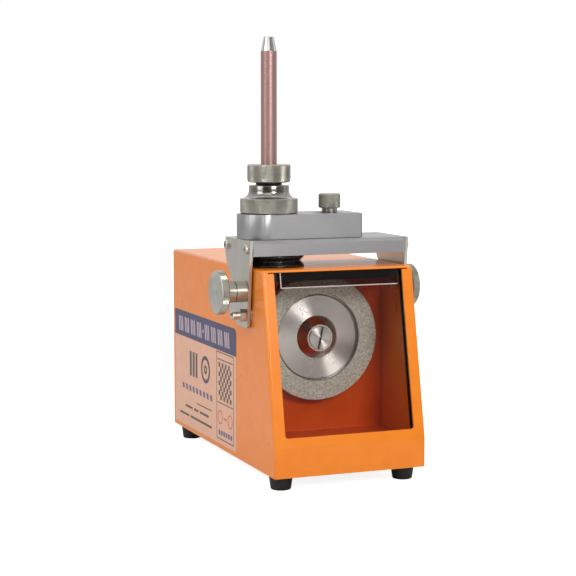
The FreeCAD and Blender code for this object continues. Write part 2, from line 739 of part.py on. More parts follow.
def make_fan():
    body = new_body("fan_body")
    hub_radius, hub_length, blade_length, half_thick = 10, 10, 9, 0.8
    hub_sketch = new_sketch(body, "fan_hub_outline", "XZ_Plane")
    add_circle(hub_sketch, (0, 0), hub_radius)
    add_circle(hub_sketch, (0, 0), d.shaft_radius)
    hub = body.newObject("PartDesign::Pad", "fan_hub")
    hub.Profile = hub_sketch
    bind(hub, "Length", hub_length)
    blade_sketch = new_sketch(body, "fan_blade_outline", "XZ_Plane")
    root_radius = hub_radius - 1
    add_outline(blade_sketch, [(root_radius, -half_thick), (d.fan_radius, -half_thick),
                               (d.fan_radius, half_thick), (root_radius, half_thick)])
    blade = body.newObject("PartDesign::Pad", "fan_blade")
    blade.Profile = blade_sketch
    bind(blade, "Length", blade_length)
    blades = body.newObject("PartDesign::PolarPattern", "fan_blades")
    blades.Originals = [blade]
    blades.Axis = (blade_sketch, ["N_Axis"])
    blades.Angle = 360
    blades.Occurrences = 9
    body.Tip = blades
    place(body, SPINDLE[0], front(BELL_REAR + 14), SPINDLE[2])
    keep(body, "cooling_fan")


def make_wheel():
    face, radius = d.wheel_face, d.wheel_radius
    grit_back = face + d.grit_thickness
    back = face + d.wheel_thickness
    keep(turned("core", "y", SPINDLE, [
        (d.wheel_bore, front(RECESS_FLOOR)), (d.grit_inner, front(RECESS_FLOOR)),
        (d.grit_inner, front(grit_back)), (radius, front(grit_back)), (radius, front(back), 1),
        (d.wheel_bore, front(back)),
    ]), "wheel_core")
    keep(turned("grit", "y", SPINDLE, [
        (d.grit_inner, front(face)), (radius, front(face), 0.4), (radius, front(grit_back)),
        (d.grit_inner, front(grit_back)),
    ]), "diamond_ring")
    flange_face = RECESS_FLOOR - d.flange_gauge
    clearance, chamfer = SCREW_SHANK + 0.2, 0.9
    keep(turned("flange", "y", SPINDLE, [
        (clearance, front(flange_face)), (d.flange_radius - chamfer, front(flange_face)),
        (d.flange_radius, front(flange_face + chamfer)), (d.flange_radius, front(RECESS_FLOOR)),
        (clearance, front(RECESS_FLOOR)),
    ]), "wheel_flange")
    cone_end = flange_face - d.cone_rise
    pocket = d.wheel_screw_radius + 0.2
    head_face, head_back, tip = cone_end - 1.2, cone_end + 2.4, face + 20
    keep(turned("cone", "y", SPINDLE, [
        (pocket, front(cone_end)), (d.cone_end_radius, front(cone_end)),
        (d.cone_base_radius, front(flange_face)), (clearance, front(flange_face)),
        (clearance, front(head_back)), (pocket, front(head_back)),
    ]), "nose_cone")
    screw = turned("screw_blank", "y", SPINDLE, [
        (0, front(head_face)), (d.wheel_screw_radius, front(head_face), 0.6),
        (d.wheel_screw_radius, front(head_back)), (SCREW_SHANK, front(head_back)),
        (SCREW_SHANK, front(tip)), (0, front(tip)),
    ])
    slot = doc.addObject("Part::Box", "screw_slot")
    slot_width, slot_depth, slot_reach = 1.6, 1.6, 24
    slot.Length, slot.Width, slot.Height = slot_width, slot_depth + 1, slot_reach
    tilt = Rotation(Vector(0, 1, 0), 12)
    corner = tilt.multVec(Vector(-slot_width / 2, 0, -slot_reach / 2))
    slot.Placement = Placement(Vector(), tilt)
    place(slot, SPINDLE[0] + corner.x, front(head_face - 1), SPINDLE[2] + corner.z)
    keep(cut("screw_slotted", screw, [slot]), "wheel_screw")


# ---------------------------------------------------------------------------------------------
# Electrical parts at the rear
# ---------------------------------------------------------------------------------------------

PANEL_FACE = front(d.casing_depth - d.skin)


def centred_box(name, x, z, half_width, half_height, near, far):
    x, z = sized(x), sized(z)
    return box(name, (x - half_width, near, z - half_height), (x + half_width, far, z + half_height))


def make_socket():
    x, z = d.socket_x, up(d.socket_height)
    flange = plate("socket_flange", "xz", PANEL_FACE, PANEL_FACE + 2.4, [
        (x - 25, z - 10, 5), (x + 25, z - 10, 5), (x + 25, z + 10, 5), (x - 25, z + 10, 5),
    ])
    shell = centred_box("socket_shell", x, z, 13.5, 9.8, PANEL_FACE - 22, PANEL_FACE + 1)
    cavity = plate("socket_cavity", "xz", PANEL_FACE - 17, PANEL_FACE + 4, [
        (x - 11.8, z - 7.9), (x + 11.8, z - 7.9), (x + 11.8, z + 3.4), (x + 7.3, z + 7.9),
        (x - 7.3, z + 7.9), (x - 11.8, z + 3.4),
    ])
    pins = []
    for number, (across, rise) in enumerate(((-7, -2), (7, -2), (0, 2))):
        pins.append(centred_box(f"pin{number}", x + across, z + rise, 1, 2,
                                PANEL_FACE - 26, PANEL_FACE - 5))
    fixings = [cylinder(f"flange_hole{number}", "y", (x + offset, 0, z), d.small_screw_radius,
                        PANEL_FACE - 1, PANEL_FACE + 4) for number, offset in enumerate((-20, 20))]
    housing = fuse("socket_housing", [flange, shell])
    keep(cut("socket", housing, [cavity, *pins, *fixings]), "power_inlet")
    keep(group("pins", pins), "inlet_pins")
    screws = [turned(f"flange_screw{number}", "y", (x + offset, 0, z), [
        (0, PANEL_FACE - 6), (d.small_screw_radius, PANEL_FACE - 6),
        (d.small_screw_radius, PANEL_FACE + 2.4), (d.small_head, PANEL_FACE + 2.4),
        (d.small_head * 0.7, PANEL_FACE + 3.6), (0, PANEL_FACE + 3.6),
    ]) for number, offset in enumerate((-20, 20))]
    keep(group("flange_screws", screws), "inlet_screws")


def make_switch():
    x, z = -d.switch_x, up(d.socket_height)
    bezel = plate("switch_bezel", "xz", PANEL_FACE, PANEL_FACE + 1.8, [
        (x - 15.5, z - 12.5, 2), (x + 15.5, z - 12.5, 2), (x + 15.5, z + 12.5, 2), (x - 15.5, z + 12.5, 2),
    ])
    shell = centred_box("switch_shell", x, z, 12.9, 9.9, PANEL_FACE - 20, PANEL_FACE + 1)
    well = centred_box("switch_well", x, z, 11, 8.3, PANEL_FACE - 14, PANEL_FACE + 3)
    pivot = (x, PANEL_FACE - 1.6, z)
    pin_radius, pin_reach, half = 1.25, 11.7, 10.4
    sockets = cylinder("rocker_sockets", "x", pivot, pin_radius + d.running_gap, -pin_reach - 0.3,
                       pin_reach + 0.3)
    keep(cut("switch_hollowed", fuse("switch_housing", [bezel, shell]), [well, sockets]), "switch_body")
    rocker = plate("rocker", "yz", -half, half, [
        (-5, -4), (2.2, -7.2, 1), (4.4, -6.6, 1), (2.9, 0, 6), (4.4, 6.6, 1), (2.2, 7.2, 1), (-5, 4),
    ])
    rocker.Placement = Placement(Vector(), Rotation(Vector(1, 0, 0), -8))
    place(rocker, x - half, *pivot[1:])
    pins = cylinder("rocker_pins", "x", pivot, pin_radius, -pin_reach, pin_reach)
    keep(fuse("rocker_pinned", [rocker, pins]), "switch_rocker")


def make_wiring_parts():
    floor = d.skin * 2
    radius, height = 15, 55
    keep(turned("capacitor", "z", (-42, front(214), 0), [
        (0, up(floor)), (radius, up(floor)), (radius, up(floor + height), 2), (0, up(floor + height)),
    ]), "run_capacitor")
    left, length, height, pitch = -8, 40, 12, 10
    block = box("terminal_bar", (left, front(222), up(floor)),
                (left + length, front(238), up(floor + height)))
    wells = [cylinder(f"terminal_well{number}", "z", (left + pitch * (number + 0.5), front(230), 0), 3,
                      up(floor + 5), up(floor + height + 1)) for number in range(4)]
    keep(cut("terminals", block, wells), "terminal_block")


# ---------------------------------------------------------------------------------------------
# Tilting bridge with its pivots and clamp knobs
# ---------------------------------------------------------------------------------------------

PLATE_OUTER = d.plate_inner + d.plate_gauge
PLATE_SCREWS = ((front(50), up(175.5)), (front(96), up(176)))
KNURL_BEVEL = 0.7


def make_pivots():
    studs, washers, pivot_nuts, nuts = [], [], [], []
    nut_start = PLATE_OUTER + d.body_gap
    head, head_back = 4.5, INNER_HALF - 1.6
    # The right nut is a thin one, because the right knob turns close in front of it.
    acorn_gauge, thin_gauge = 4.4, 2
    for (side, axis), gauge in zip(SIDES, (acorn_gauge, thin_gauge)):
        centre = (0, *PIVOT)
        nut_end = nut_start + gauge
        studs.append(turned(f"stud_{side}", axis, centre, [
            (0, head_back), (head, head_back), (head, INNER_HALF), (d.pivot_radius, INNER_HALF),
            (d.pivot_radius, nut_end), (0, nut_end),
        ]))
        washers.append(turned(f"washer_{side}", axis, centre,
                              ring_profile(d.pivot_radius, 6.5, HALF_WIDTH, d.plate_inner - 0.15)))
        blank = hexagon(f"pivot_hex_{side}", axis, centre, 8.8, nut_start, nut_end)
        bore = cylinder(f"pivot_nut_bore_{side}", axis, centre, d.pivot_radius, nut_start - 1, nut_end + 1)
        pivot_nuts.append(cut(f"pivot_nut_{side}", blank, [bore]))
        clamp_centre = (0, *CLAMP)
        insert = hexagon(f"insert_{side}", axis, clamp_centre, 10, INNER_HALF - 5, INNER_HALF)
        thread = cylinder(f"insert_thread_{side}", axis, clamp_centre, d.pivot_radius + d.running_gap,
                          INNER_HALF - 6, INNER_HALF + 1)
        nuts.append(cut(f"clamp_nut_{side}", insert, [thread]))
    keep(group("studs", studs), "pivot_studs")
    keep(group("washers", washers), "pivot_washers")
    dome_start = nut_start + acorn_gauge
    dome_radius, dome_end, dome_round = 3.1, dome_start + 8.2, 2.7
    dome = turned("acorn_dome", "-x", (0, *PIVOT), [
        (0, dome_start), (dome_radius, dome_start), (dome_radius, dome_end, dome_round), (0, dome_end),
    ])
    pivot_nuts[0] = fuse("acorn_nut", [pivot_nuts[0], dome])
    keep(group("pivot_nut_set", pivot_nuts), "pivot_nuts")
    keep(group("clamp_nut_set", nuts), "clamp_nuts")
    # Only the left knob stands off, on a bush that lets a hand pass the holder.
    bush_bore, bush_end = 3.4, d.left_hub_start - d.body_gap
    keep(turned("bush", "-x", (0, *CLAMP), [
        (bush_bore, nut_start), (d.knob_hub_radius, nut_start), (d.knob_hub_radius, bush_end),
        (bush_bore, bush_end),
    ]), "clamp_bush")


def make_knobs():
    rim, tip, bevel = d.knob_radius, INNER_HALF - 6, KNURL_BEVEL
    for side, axis, face, hub_start in (("left", "-x", d.left_knob_face, d.left_hub_start),
                                        ("right", "x", d.right_knob_face, d.right_hub_start)):
        head_start = face - d.knob_head
        keep(turned(f"{side}_knob_body", axis, (0, *CLAMP), [
            (0, tip), (d.pivot_radius, tip), (d.pivot_radius, hub_start),
            (d.knob_hub_radius, hub_start), (d.knob_hub_radius, head_start, 0.8),
            (rim - bevel, head_start), (rim, head_start + bevel), (rim, face - bevel),
            (rim - bevel, face), (0, face),
        ]), f"{side}_knob")


def make_side_plates():
    for side, axis in SIDES:
        blank = plate(f"{side}_plate_blank", "yz", *across(side, d.plate_inner, PLATE_OUTER), [
            (front(d.bridge_front), up(d.bridge_top)), (front(50.8), up(112.2), 3),
            (front(71.6), up(112.6), 6), (front(95.6), up(121), 5), (front(88.5), up(134), 9),
            (front(88.5), up(150), 14), (front(d.bridge_rear), up(166), 14),
            (front(d.bridge_rear), up(d.bridge_top)),
        ])
        start, end = d.plate_inner - 1, PLATE_OUTER + 1
        tools = [cylinder(f"{side}_pivot_bore", axis, (0, *PIVOT), d.pivot_radius + d.running_gap,
                          start, end)]
        for number, (y, z) in enumerate(PLATE_SCREWS):
            tools.append(cylinder(f"{side}_plate_hole{number}", axis, (0, y, z), d.screw_radius,
                                  start, end))
        tools += clamp_slot(side, axis, start, end)
        keep(cut(f"{side}_plate_cut", blank, tools), f"{side}_side_plate")


def clamp_slot(side, axis, start, end):
    """The arc slot about the pivot that the clamp stud runs along when the bridge tilts."""
    half = d.pivot_radius + 0.4
    shapes = []
    for name, angle in (("upright", sized(0)), ("tilted", d.tilt_range)):
        y = PIVOT[0] + d.clamp_arm * sine(angle)
        z = PIVOT[1] + d.clamp_arm * cosine(angle)
        shapes.append(cylinder(f"{side}_slot_{name}", axis, (0, y, z), half, start, end))
    body = new_body(f"{side}_slot_arc")
    sketch = new_sketch(body, f"{side}_slot_section", "XZ_Plane")
    add_outline(sketch, ring_profile(d.clamp_arm - half, d.clamp_arm + half, start, end))
    arc = body.newObject("PartDesign::Revolution", f"{side}_slot_sweep")
    arc.Profile = sketch
    arc.ReferenceAxis = (sketch, ["V_Axis"])
    bind(arc, "Angle", d.tilt_range)
    # The section is stood up above the pivot. It sweeps to the rear, so the right side turns backwards.
    arc.Reversed = side == "right"
    outwards = Vector(1, 0, 0) if side == "right" else Vector(-1, 0, 0)
    body.Placement = Placement(Vector(), Rotation(Vector(0, 0, 1), Vector(), outwards, "ZXY"))
    place(body, 0, *PIVOT)
    return [*shapes, body]


def make_bridge():
    half = d.plate_inner
    low, top = d.bridge_top - d.bridge_gauge, d.bridge_top
    bar = plate("bridge_bar", "yz", -half, half, [
        (front(d.bridge_front), up(low)), (front(d.bridge_rear), up(low)), (front(d.bridge_rear), up(top)),
        (front(d.bridge_front + d.bridge_chamfer), up(top)),
        (front(d.bridge_front), up(top - d.bridge_chamfer)),
    ])
    y = front(d.holder_back)
    slot_half, slot_round = d.sleeve_radius + 0.6, d.sleeve_radius + 0.5
    left, right = -d.holder_x - slot_half, -d.holder_x + d.slide_travel + slot_half
    tools = [plate("sleeve_slot", "xy", up(low - 1), up(top + 1), [
        (left, y - slot_half, slot_round), (right, y - slot_half, slot_round),
        (right, y + slot_half, slot_round), (left, y + slot_half, slot_round),
    ])]
    tools.append(cylinder("thumb_thread", "z", (d.thumb_x, y, 0), d.pivot_radius + d.running_gap,
                          up(low - 1), up(top + 1)))
    screws = []
    tip = half - 10
    for side, axis in SIDES:
        for number, (screw_y, screw_z) in enumerate(PLATE_SCREWS):
            centre = (0, screw_y, screw_z)
            tools.append(cylinder(f"{side}_bar_tapping{number}", axis, centre, d.screw_radius,
                                  tip, half + 1))
            screws.append(pan_screw(f"{side}_plate_screw{number}", axis, centre, PLATE_OUTER, tip,
                                    d.pan_head, d.pan_height, d.screw_radius))
    keep(cut("bridge_cut", bar, tools), "bridge_plate")
    keep(group("plate_screws", screws), "side_plate_screws")


# ---------------------------------------------------------------------------------------------
# Guide block and electrode holder
# ---------------------------------------------------------------------------------------------

HOLDER = (-d.holder_x, front(d.holder_back), sized(0))
BLOCK_TOP = d.bridge_top + d.block_rise
NUT_TOP = d.nut_low + d.nut_height
STEM_TOP = NUT_TOP + d.stem_length
SOCKET_FLOOR = NUT_TOP - 6


def make_guide_block():
    end_round = (d.block_rear - d.block_front) / 2 - 0.1
    blank = plate("block_blank", "xy", up(d.bridge_top + d.body_gap), up(BLOCK_TOP), [
        (-d.block_left, front(d.block_front), end_round), (d.block_right, front(d.block_front), 1.5),
        (d.block_right, front(d.block_rear), 1.5), (-d.block_left, front(d.block_rear), end_round),
    ])
    low, high = up(d.bridge_top - 1), up(BLOCK_TOP + 1)
    y = front(d.holder_back)
    slot_half, slot_round = d.pivot_radius + 0.4, d.pivot_radius + 0.3
    left = d.thumb_x - d.slide_travel - slot_half
    right = d.thumb_x + slot_half
    tools = [
        cylinder("sleeve_bore", "z", HOLDER, d.sleeve_radius, low, high),
        plate("thumb_slot", "xy", low, high, [
            (left, y - slot_half, slot_round), (right, y - slot_half, slot_round),
            (right, y + slot_half, slot_round), (left, y + slot_half, slot_round),
        ]),
    ]
    keep(cut("block_cut", blank, tools), "guide_block")
    bore = d.bush_radius + d.running_gap
    keep(turned("sleeve", "z", HOLDER, [
        (bore, up(d.sleeve_low)), (d.sleeve_radius, up(d.sleeve_low)), (d.sleeve_radius, up(BLOCK_TOP)),
        (d.boss_radius, up(BLOCK_TOP)), (d.boss_radius, up(d.boss_top)), (bore, up(d.boss_top)),
    ]), "guide_sleeve")
    collar, rim, bevel = 6.5, 9, 0.6
    tip = up(d.bridge_top - d.bridge_gauge + 1)
    seat = up(BLOCK_TOP + d.body_gap)
    head_low = seat + 3.3
    head_top = head_low + 11.8
    keep(turned("thumb", "z", (d.thumb_x, y, 0), [
        (0, tip), (d.pivot_radius, tip), (d.pivot_radius, seat), (collar, seat), (collar, head_low),
        (rim - bevel, head_low), (rim, head_low + bevel), (rim, head_top - bevel), (rim - bevel, head_top),
        (0, head_top),
    ]), "thumb_screw")


def make_feed_ring():
    low = BLOCK_TOP + d.body_gap
    shoulder = low + d.ring_height
    bore, mouth = d.boss_radius + d.running_gap, d.bush_radius + 0.7
    lower_bevel, upper_bevel, shoulder_rise = 1, 0.3, 1.2
    keep(turned("ring", "z", HOLDER, [
        (bore, up(low)), (d.ring_radius - lower_bevel, up(low)), (d.ring_radius, up(low + lower_bevel)),
        (d.ring_radius, up(shoulder - upper_bevel)), (d.ring_radius - upper_bevel, up(shoulder)),
        (d.neck_radius, up(shoulder + shoulder_rise), d.neck_cove), (d.neck_radius, up(d.neck_top), 0.5),
        (mouth, up(d.neck_top)), (mouth, up(d.boss_top + 0.4)), (bore, up(d.boss_top + 0.4)),
    ]), "feed_ring")


def make_holder():
    bush_low, bush_flange = up(186), 10.6
    flange_low, flange_top = up(d.neck_top + d.body_gap), up(d.nut_low - d.body_gap)
    tube_bore = d.collet_radius + d.running_gap
    keep(turned("bush_body", "z", HOLDER, [
        (tube_bore, bush_low), (d.bush_radius, bush_low), (d.bush_radius, flange_low),
        (bush_flange, flange_low), (bush_flange, flange_top), (tube_bore, flange_top),
    ]), "holder_bush")
    rim, bevel = d.nut_radius, KNURL_BEVEL
    keep(turned("nut", "z", HOLDER, [
        (d.collet_radius, up(d.nut_low)), (rim - bevel, up(d.nut_low)), (rim, up(d.nut_low + bevel)),
        (rim, up(NUT_TOP - bevel)), (rim - bevel, up(NUT_TOP)), (d.stem_radius, up(NUT_TOP)),
        (d.stem_radius, up(SOCKET_FLOOR)), (d.collet_radius, up(SOCKET_FLOOR)),
    ]), "holder_nut")
    stem_bore, plug_low = 3, STEM_TOP - 6
    keep(turned("stem", "z", HOLDER, ring_profile(stem_bore, d.stem_radius, up(SOCKET_FLOOR),
                                                  up(STEM_TOP))), "holder_stem")
    # The electrode is pushed in from above, through the cap and the stem, into the collet.
    cap_top = STEM_TOP + d.cap_height
    cap_bore = d.electrode_radius + 0.55
    countersink = 0.4
    keep(turned("cap", "z", HOLDER, [
        (cap_bore, up(plug_low)), (stem_bore, up(plug_low)), (stem_bore, up(STEM_TOP)),
        (d.stem_radius, up(STEM_TOP)), (d.cap_end_radius, up(cap_top), 1.2),
        (cap_bore + countersink, up(cap_top)), (cap_bore, up(cap_top - countersink)),
    ]), "holder_cap")
    collet_low = 178
    tube = turned("collet_blank", "z", HOLDER, ring_profile(d.electrode_radius, d.collet_radius,
                                                            up(collet_low), up(SOCKET_FLOOR)))
    x, y = HOLDER[0], HOLDER[1]
    slit_half, slit_reach, slit_length = 0.25, d.collet_radius + 1, 7
    slit = box("collet_slit", (x - slit_reach, y - slit_half, up(collet_low - 1)),
               (x + slit_reach, y + slit_half, up(collet_low + slit_length)))
    keep(cut("collet", tube, [slit]), "collet_tube")


def make_boot():
    roof = d.casing_height
    under = d.bridge_top - d.bridge_gauge
    bottom, top = up(roof + 0.05), up(under - d.body_gap)
    middle = up((roof + under) / 2)
    lip = 1.5
    inner, outer, waist = d.boot_inner, d.boot_radius, d.boot_waist
    keep(turned("boot", "z", (-d.boot_x, front(d.holder_back), 0), [
        (inner, bottom), (outer, bottom), (outer, bottom + lip), (waist, middle),
        (outer, top - lip), (outer, top), (inner, top),
    ]), "rubber_boot")


# ---------------------------------------------------------------------------------------------
# Build, check and export
# ---------------------------------------------------------------------------------------------

for make in (make_casing, make_base_pan, make_rear_panel, make_feet, make_window, make_chamber, make_label,
             make_motor_mount, make_motor, make_bearings, make_spindle, make_fan, make_wheel, make_socket,
             make_switch, make_wiring_parts, make_pivots, make_knobs, make_side_plates, make_bridge,
             make_guide_block, make_feed_ring, make_holder, make_boot):
    make()
for thing in sub_parts:
    move_across(thing, FRAME_SHIFT)
doc.recompute()

failed = [thing.Name for thing in doc.Objects if "Invalid" in thing.State or "Error" in thing.State]
for thing in sub_parts:
    if thing.Shape.isNull() or not thing.Shape.isValid() or not thing.Shape.Solids:
        failed.append(thing.Label)
if failed:
    raise RuntimeError(f"these objects failed: {failed}")

os.makedirs("parts", exist_ok=True)
for thing in sub_parts:
    thing.Shape.exportStep(f"parts/{thing.Label}.step")
    print(f"{thing.Label}: {len(thing.Shape.Solids)} solids, {thing.Shape.Volume / 1000:.2f} cm3")
print(f"{len(sub_parts)} sub-parts")
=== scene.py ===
"""The looks of a bench grinder for tungsten electrodes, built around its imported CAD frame.

Everything is in metres, in the CAD frame: +Z up, the window faces -Y, the ground is Z = 0.
Lengths are written in millimetres and multiplied by MM.
"""
import json
import math

import bpy
from mathutils import Matrix, Vector


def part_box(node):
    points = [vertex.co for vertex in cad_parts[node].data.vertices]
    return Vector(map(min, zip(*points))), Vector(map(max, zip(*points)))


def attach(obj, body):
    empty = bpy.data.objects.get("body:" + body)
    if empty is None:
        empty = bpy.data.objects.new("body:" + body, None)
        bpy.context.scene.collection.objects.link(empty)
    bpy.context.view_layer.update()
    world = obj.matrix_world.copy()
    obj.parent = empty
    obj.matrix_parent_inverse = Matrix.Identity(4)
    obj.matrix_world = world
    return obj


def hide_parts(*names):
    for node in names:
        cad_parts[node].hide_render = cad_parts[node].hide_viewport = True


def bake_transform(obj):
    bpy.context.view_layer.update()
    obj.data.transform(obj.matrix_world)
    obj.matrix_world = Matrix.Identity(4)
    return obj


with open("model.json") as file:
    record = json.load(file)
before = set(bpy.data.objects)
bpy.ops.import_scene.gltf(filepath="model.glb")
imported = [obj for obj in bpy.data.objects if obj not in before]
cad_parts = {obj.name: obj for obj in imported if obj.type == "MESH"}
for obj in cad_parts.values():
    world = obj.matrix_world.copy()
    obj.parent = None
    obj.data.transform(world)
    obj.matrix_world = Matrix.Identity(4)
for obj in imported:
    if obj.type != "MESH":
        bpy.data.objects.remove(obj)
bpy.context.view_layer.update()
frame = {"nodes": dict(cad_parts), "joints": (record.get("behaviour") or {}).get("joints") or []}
nodes = frame["nodes"]
MM = 0.001


# ---------------------------------------------------------------------------------------------
# Materials
# ---------------------------------------------------------------------------------------------

def srgb(red, green, blue):
    """A colour given as 0 to 255, as the linear colour that a shader takes."""
    linear = []
    for value in (red, green, blue):
        share = value / 255
        linear.append(share / 12.92 if share <= 0.04045 else ((share + 0.055) / 1.055) ** 2.4)
    return (*linear, 1.0)


WAVE_PERIOD = 0.314  # the pitch of a wave texture's rings at scale 1


class Finish:
    """A material and the few kinds of node that its surface detail is made from."""

    def __init__(self, name, roughness, **uniform):
        self.material = bpy.data.materials.new(name)
        self.material.use_nodes = True
        self.tree = self.material.node_tree
        self.shader = self.tree.nodes["Principled BSDF"]
        self.shader.inputs["Roughness"].default_value = roughness
        for socket, value in uniform.items():
            self.shader.inputs[socket.replace("_", " ")].default_value = value
        self.place = self.tree.nodes.new("ShaderNodeTexCoord").outputs["Object"]

    def node(self, kind, **settings):
        """A new node of the material, with these settings."""
        made = self.tree.nodes.new(kind)
        for key, value in settings.items():
            setattr(made, key, value)
        return made

    def link(self, source, target):
        self.tree.links.new(source, target)

    def stretched(self, scale, centre=(0, 0, 0)):
        """The object's coordinates, moved to a centre and scaled."""
        mapping = self.node("ShaderNodeMapping")
        mapping.vector_type = "POINT"
        mapping.inputs["Scale"].default_value = scale
        mapping.inputs["Location"].default_value = [-c * s for c, s in zip(centre, scale)]
        self.link(self.place, mapping.inputs["Vector"])
        return mapping.outputs["Vector"]

    def noise(self, size, detail, stretch=(1, 1, 1), contrast=0.5):
        """Noise with features of about this size in millimetres, times the stretch of each axis."""
        made = self.node("ShaderNodeTexNoise")
        made.inputs["Scale"].default_value = 1.0
        made.inputs["Detail"].default_value = detail
        made.inputs["Roughness"].default_value = contrast
        scale = [1 / (size * MM * part) for part in stretch]
        self.link(self.stretched(scale), made.inputs["Vector"])
        return made.outputs["Fac"]

    def cells(self, size, output="Distance"):
        """Cells about this many millimetres across. The Color output is one random tone for each."""
        made = self.node("ShaderNodeTexVoronoi")
        made.inputs["Scale"].default_value = 1 / (size * MM)
        self.link(self.place, made.inputs["Vector"])
        return made.outputs[output]

    def rings(self, pitch, centre, across):
        """Fine turning lines about an axis through centre. across is 0 along that axis, and 1 across it."""
        made = self.node("ShaderNodeTexWave", wave_type="RINGS", rings_direction="SPHERICAL",
                         wave_profile="SIN")
        made.inputs["Scale"].default_value = 1.0
        made.inputs["Distortion"].default_value = 0.6
        made.inputs["Detail"].default_value = 2.0
        made.inputs["Detail Scale"].default_value = 0.4
        scale = [part * WAVE_PERIOD / (pitch * MM) for part in across]
        self.link(self.stretched(scale, centre), made.inputs["Vector"])
        return made.outputs["Fac"]

    def ramp(self, source, *stops):
        """A colour ramp. Each stop is (position, colour)."""
        made = self.node("ShaderNodeValToRGB")
        elements = made.color_ramp.elements
        while len(elements) < len(stops):
            elements.new(0.5)
        for element, (position, colour) in zip(elements, stops):
            element.position = position
            element.color = colour
        self.link(source, made.inputs["Fac"])
        return made.outputs["Color"]

    def span(self, source, low, high, start=0.25, end=0.75):
        """The source's values from start to end, spread over low to high."""
        made = self.node("ShaderNodeMapRange")
        for socket, value in (("From Min", start), ("From Max", end), ("To Min", low), ("To Max", high)):
            made.inputs[socket].default_value = value
        self.link(source, made.inputs["Value"])
        return made.outputs["Result"]

    def mixed(self, first, second, share):
        """Two values mixed, with this share of the second."""
        made = self.node("ShaderNodeMix", data_type="FLOAT")
        made.inputs["Factor"].default_value = share
        self.link(first, made.inputs[2])
        self.link(second, made.inputs[3])
        return made.outputs[0]

    def colour(self, source):
        self.link(source, self.shader.inputs["Base Color"])
        return self

    def rough(self, source):
        self.link(source, self.shader.inputs["Roughness"])
        return self

    def bump(self, source, depth):
        """Relief of this depth in millimetres."""
        made = self.node("ShaderNodeBump")
        made.inputs["Distance"].default_value = depth * MM
        self.link(source, made.inputs["Height"])
        self.link(made.outputs["Normal"], self.shader.inputs["Normal"])
        return self

    def tangent(self, axis):
        """Turning marks run round this axis of the piece."""
        made = self.node("ShaderNodeTangent", direction_type="RADIAL", axis=axis)
        self.link(made.outputs["Tangent"], self.shader.inputs["Tangent"])
        return self


def orange_paint(name, low, high):
    """Glossy powder coat, a little uneven in colour and gloss."""
    finish = Finish(name, 0.3, Specular_IOR_Level=0.42, Coat_Weight=0.15, Coat_Roughness=0.1)
    mottle = finish.noise(14, 3)
    finish.colour(finish.ramp(mottle, (0.3, low), (0.7, high)))
    return finish.rough(finish.span(finish.noise(9, 3), 0.27, 0.34))


def brushed(name, light, dark, roughness, stretch):
    """Brushed metal. Its grain is finest along the axis where stretch is under 1."""
    finish = Finish(name, roughness, Metallic=1.0)
    lines = finish.noise(0.25, 4, stretch, 0.65)
    tone = finish.mixed(lines, finish.noise(18, 3), 0.5)
    finish.colour(finish.ramp(tone, (0.3, dark), (0.7, light)))
    finish.rough(finish.span(lines, roughness - 0.06, roughness + 0.08))
    return finish.bump(lines, 0.006)


def turned_metal(name, light, dark, roughness, centre, axis, pitch, anisotropic):
    """Metal faced on a lathe: rings of this pitch, and a highlight that fans out from the middle."""
    finish = Finish(name, roughness, Metallic=1.0, Anisotropic=anisotropic, Anisotropic_Rotation=0.25)
    rings = finish.rings(pitch, centre, [0 if letter == axis else 1 for letter in "XYZ"])
    smudges = finish.noise(9, 2)
    finish.colour(finish.ramp(rings, (0.2, dark), (0.8, light)))
    finish.rough(finish.span(smudges, roughness - 0.02, roughness + 0.04))
    return finish.tangent(axis)


def nickel():
    """Satin nickel plate on the knurled parts."""
    finish = Finish("nickel_plate", 0.27, Metallic=1.0)
    finish.colour(finish.ramp(finish.noise(3, 5), (0.3, srgb(160, 157, 146)), (0.7, srgb(174, 171, 160))))
    finish.rough(finish.span(finish.noise(1.2, 4), 0.28, 0.34))
    return finish.bump(finish.noise(0.35, 3), 0.002)


def polished(name, low, high, roughness):
    """Bright turned metal with faint wiping marks."""
    finish = Finish(name, roughness, Metallic=1.0)
    finish.colour(finish.ramp(finish.noise(6, 3), (0.3, low), (0.7, high)))
    finish.rough(finish.span(finish.noise(1.5, 5, (1, 1, 4)), roughness - 0.02, roughness + 0.06))
    return finish.bump(finish.noise(0.5, 2, (0.3, 0.3, 3)), 0.002)


def rose_bronze():
    """Rose bronze anodising over a turned tube."""
    finish = Finish("rose_bronze_anodising", 0.43, Metallic=0.85)
    grain = finish.noise(0.5, 4, (0.04, 0.04, 1))
    finish.colour(finish.ramp(grain, (0.3, srgb(156, 122, 117)), (0.7, srgb(176, 142, 135))))
    return finish.rough(finish.span(finish.noise(4, 4), 0.4, 0.46))


def diamond_grit():
    """Diamond grains held in nickel: pale sparkling facets over a dull grey-beige ground."""
    finish = Finish("diamond_grit", 0.5, Metallic=0.25)
    grains = finish.cells(0.5, output="Color")
    tone = finish.node("ShaderNodeSeparateColor")
    finish.link(grains, tone.inputs["Color"])
    patchy = finish.mixed(tone.outputs["Red"], finish.noise(2.2, 3), 0.3)
    finish.colour(finish.ramp(patchy, (0.15, srgb(150, 156, 143)), (0.5, srgb(200, 207, 194)),
                              (0.85, srgb(246, 250, 240))))
    finish.rough(finish.span(tone.outputs["Green"], 0.35, 0.65, 0.0, 1.0))
    return finish.bump(finish.cells(0.5), 0.04)


def rubber(name, roughness, tone, speck):
    """Moulded rubber of this grey, from 0 to 255, with specks about this many millimetres apart."""
    finish = Finish(name, roughness, Specular_IOR_Level=0.45)
    finish.colour(finish.ramp(finish.noise(2.5, 5), (0.3, srgb(tone, tone, tone)),
                              (0.75, srgb(tone + 10, tone + 10, tone + 11))))
    finish.rough(finish.span(finish.noise(1.1, 4), roughness - 0.06, roughness + 0.1))
    return finish.bump(finish.noise(speck, 3), 0.02)


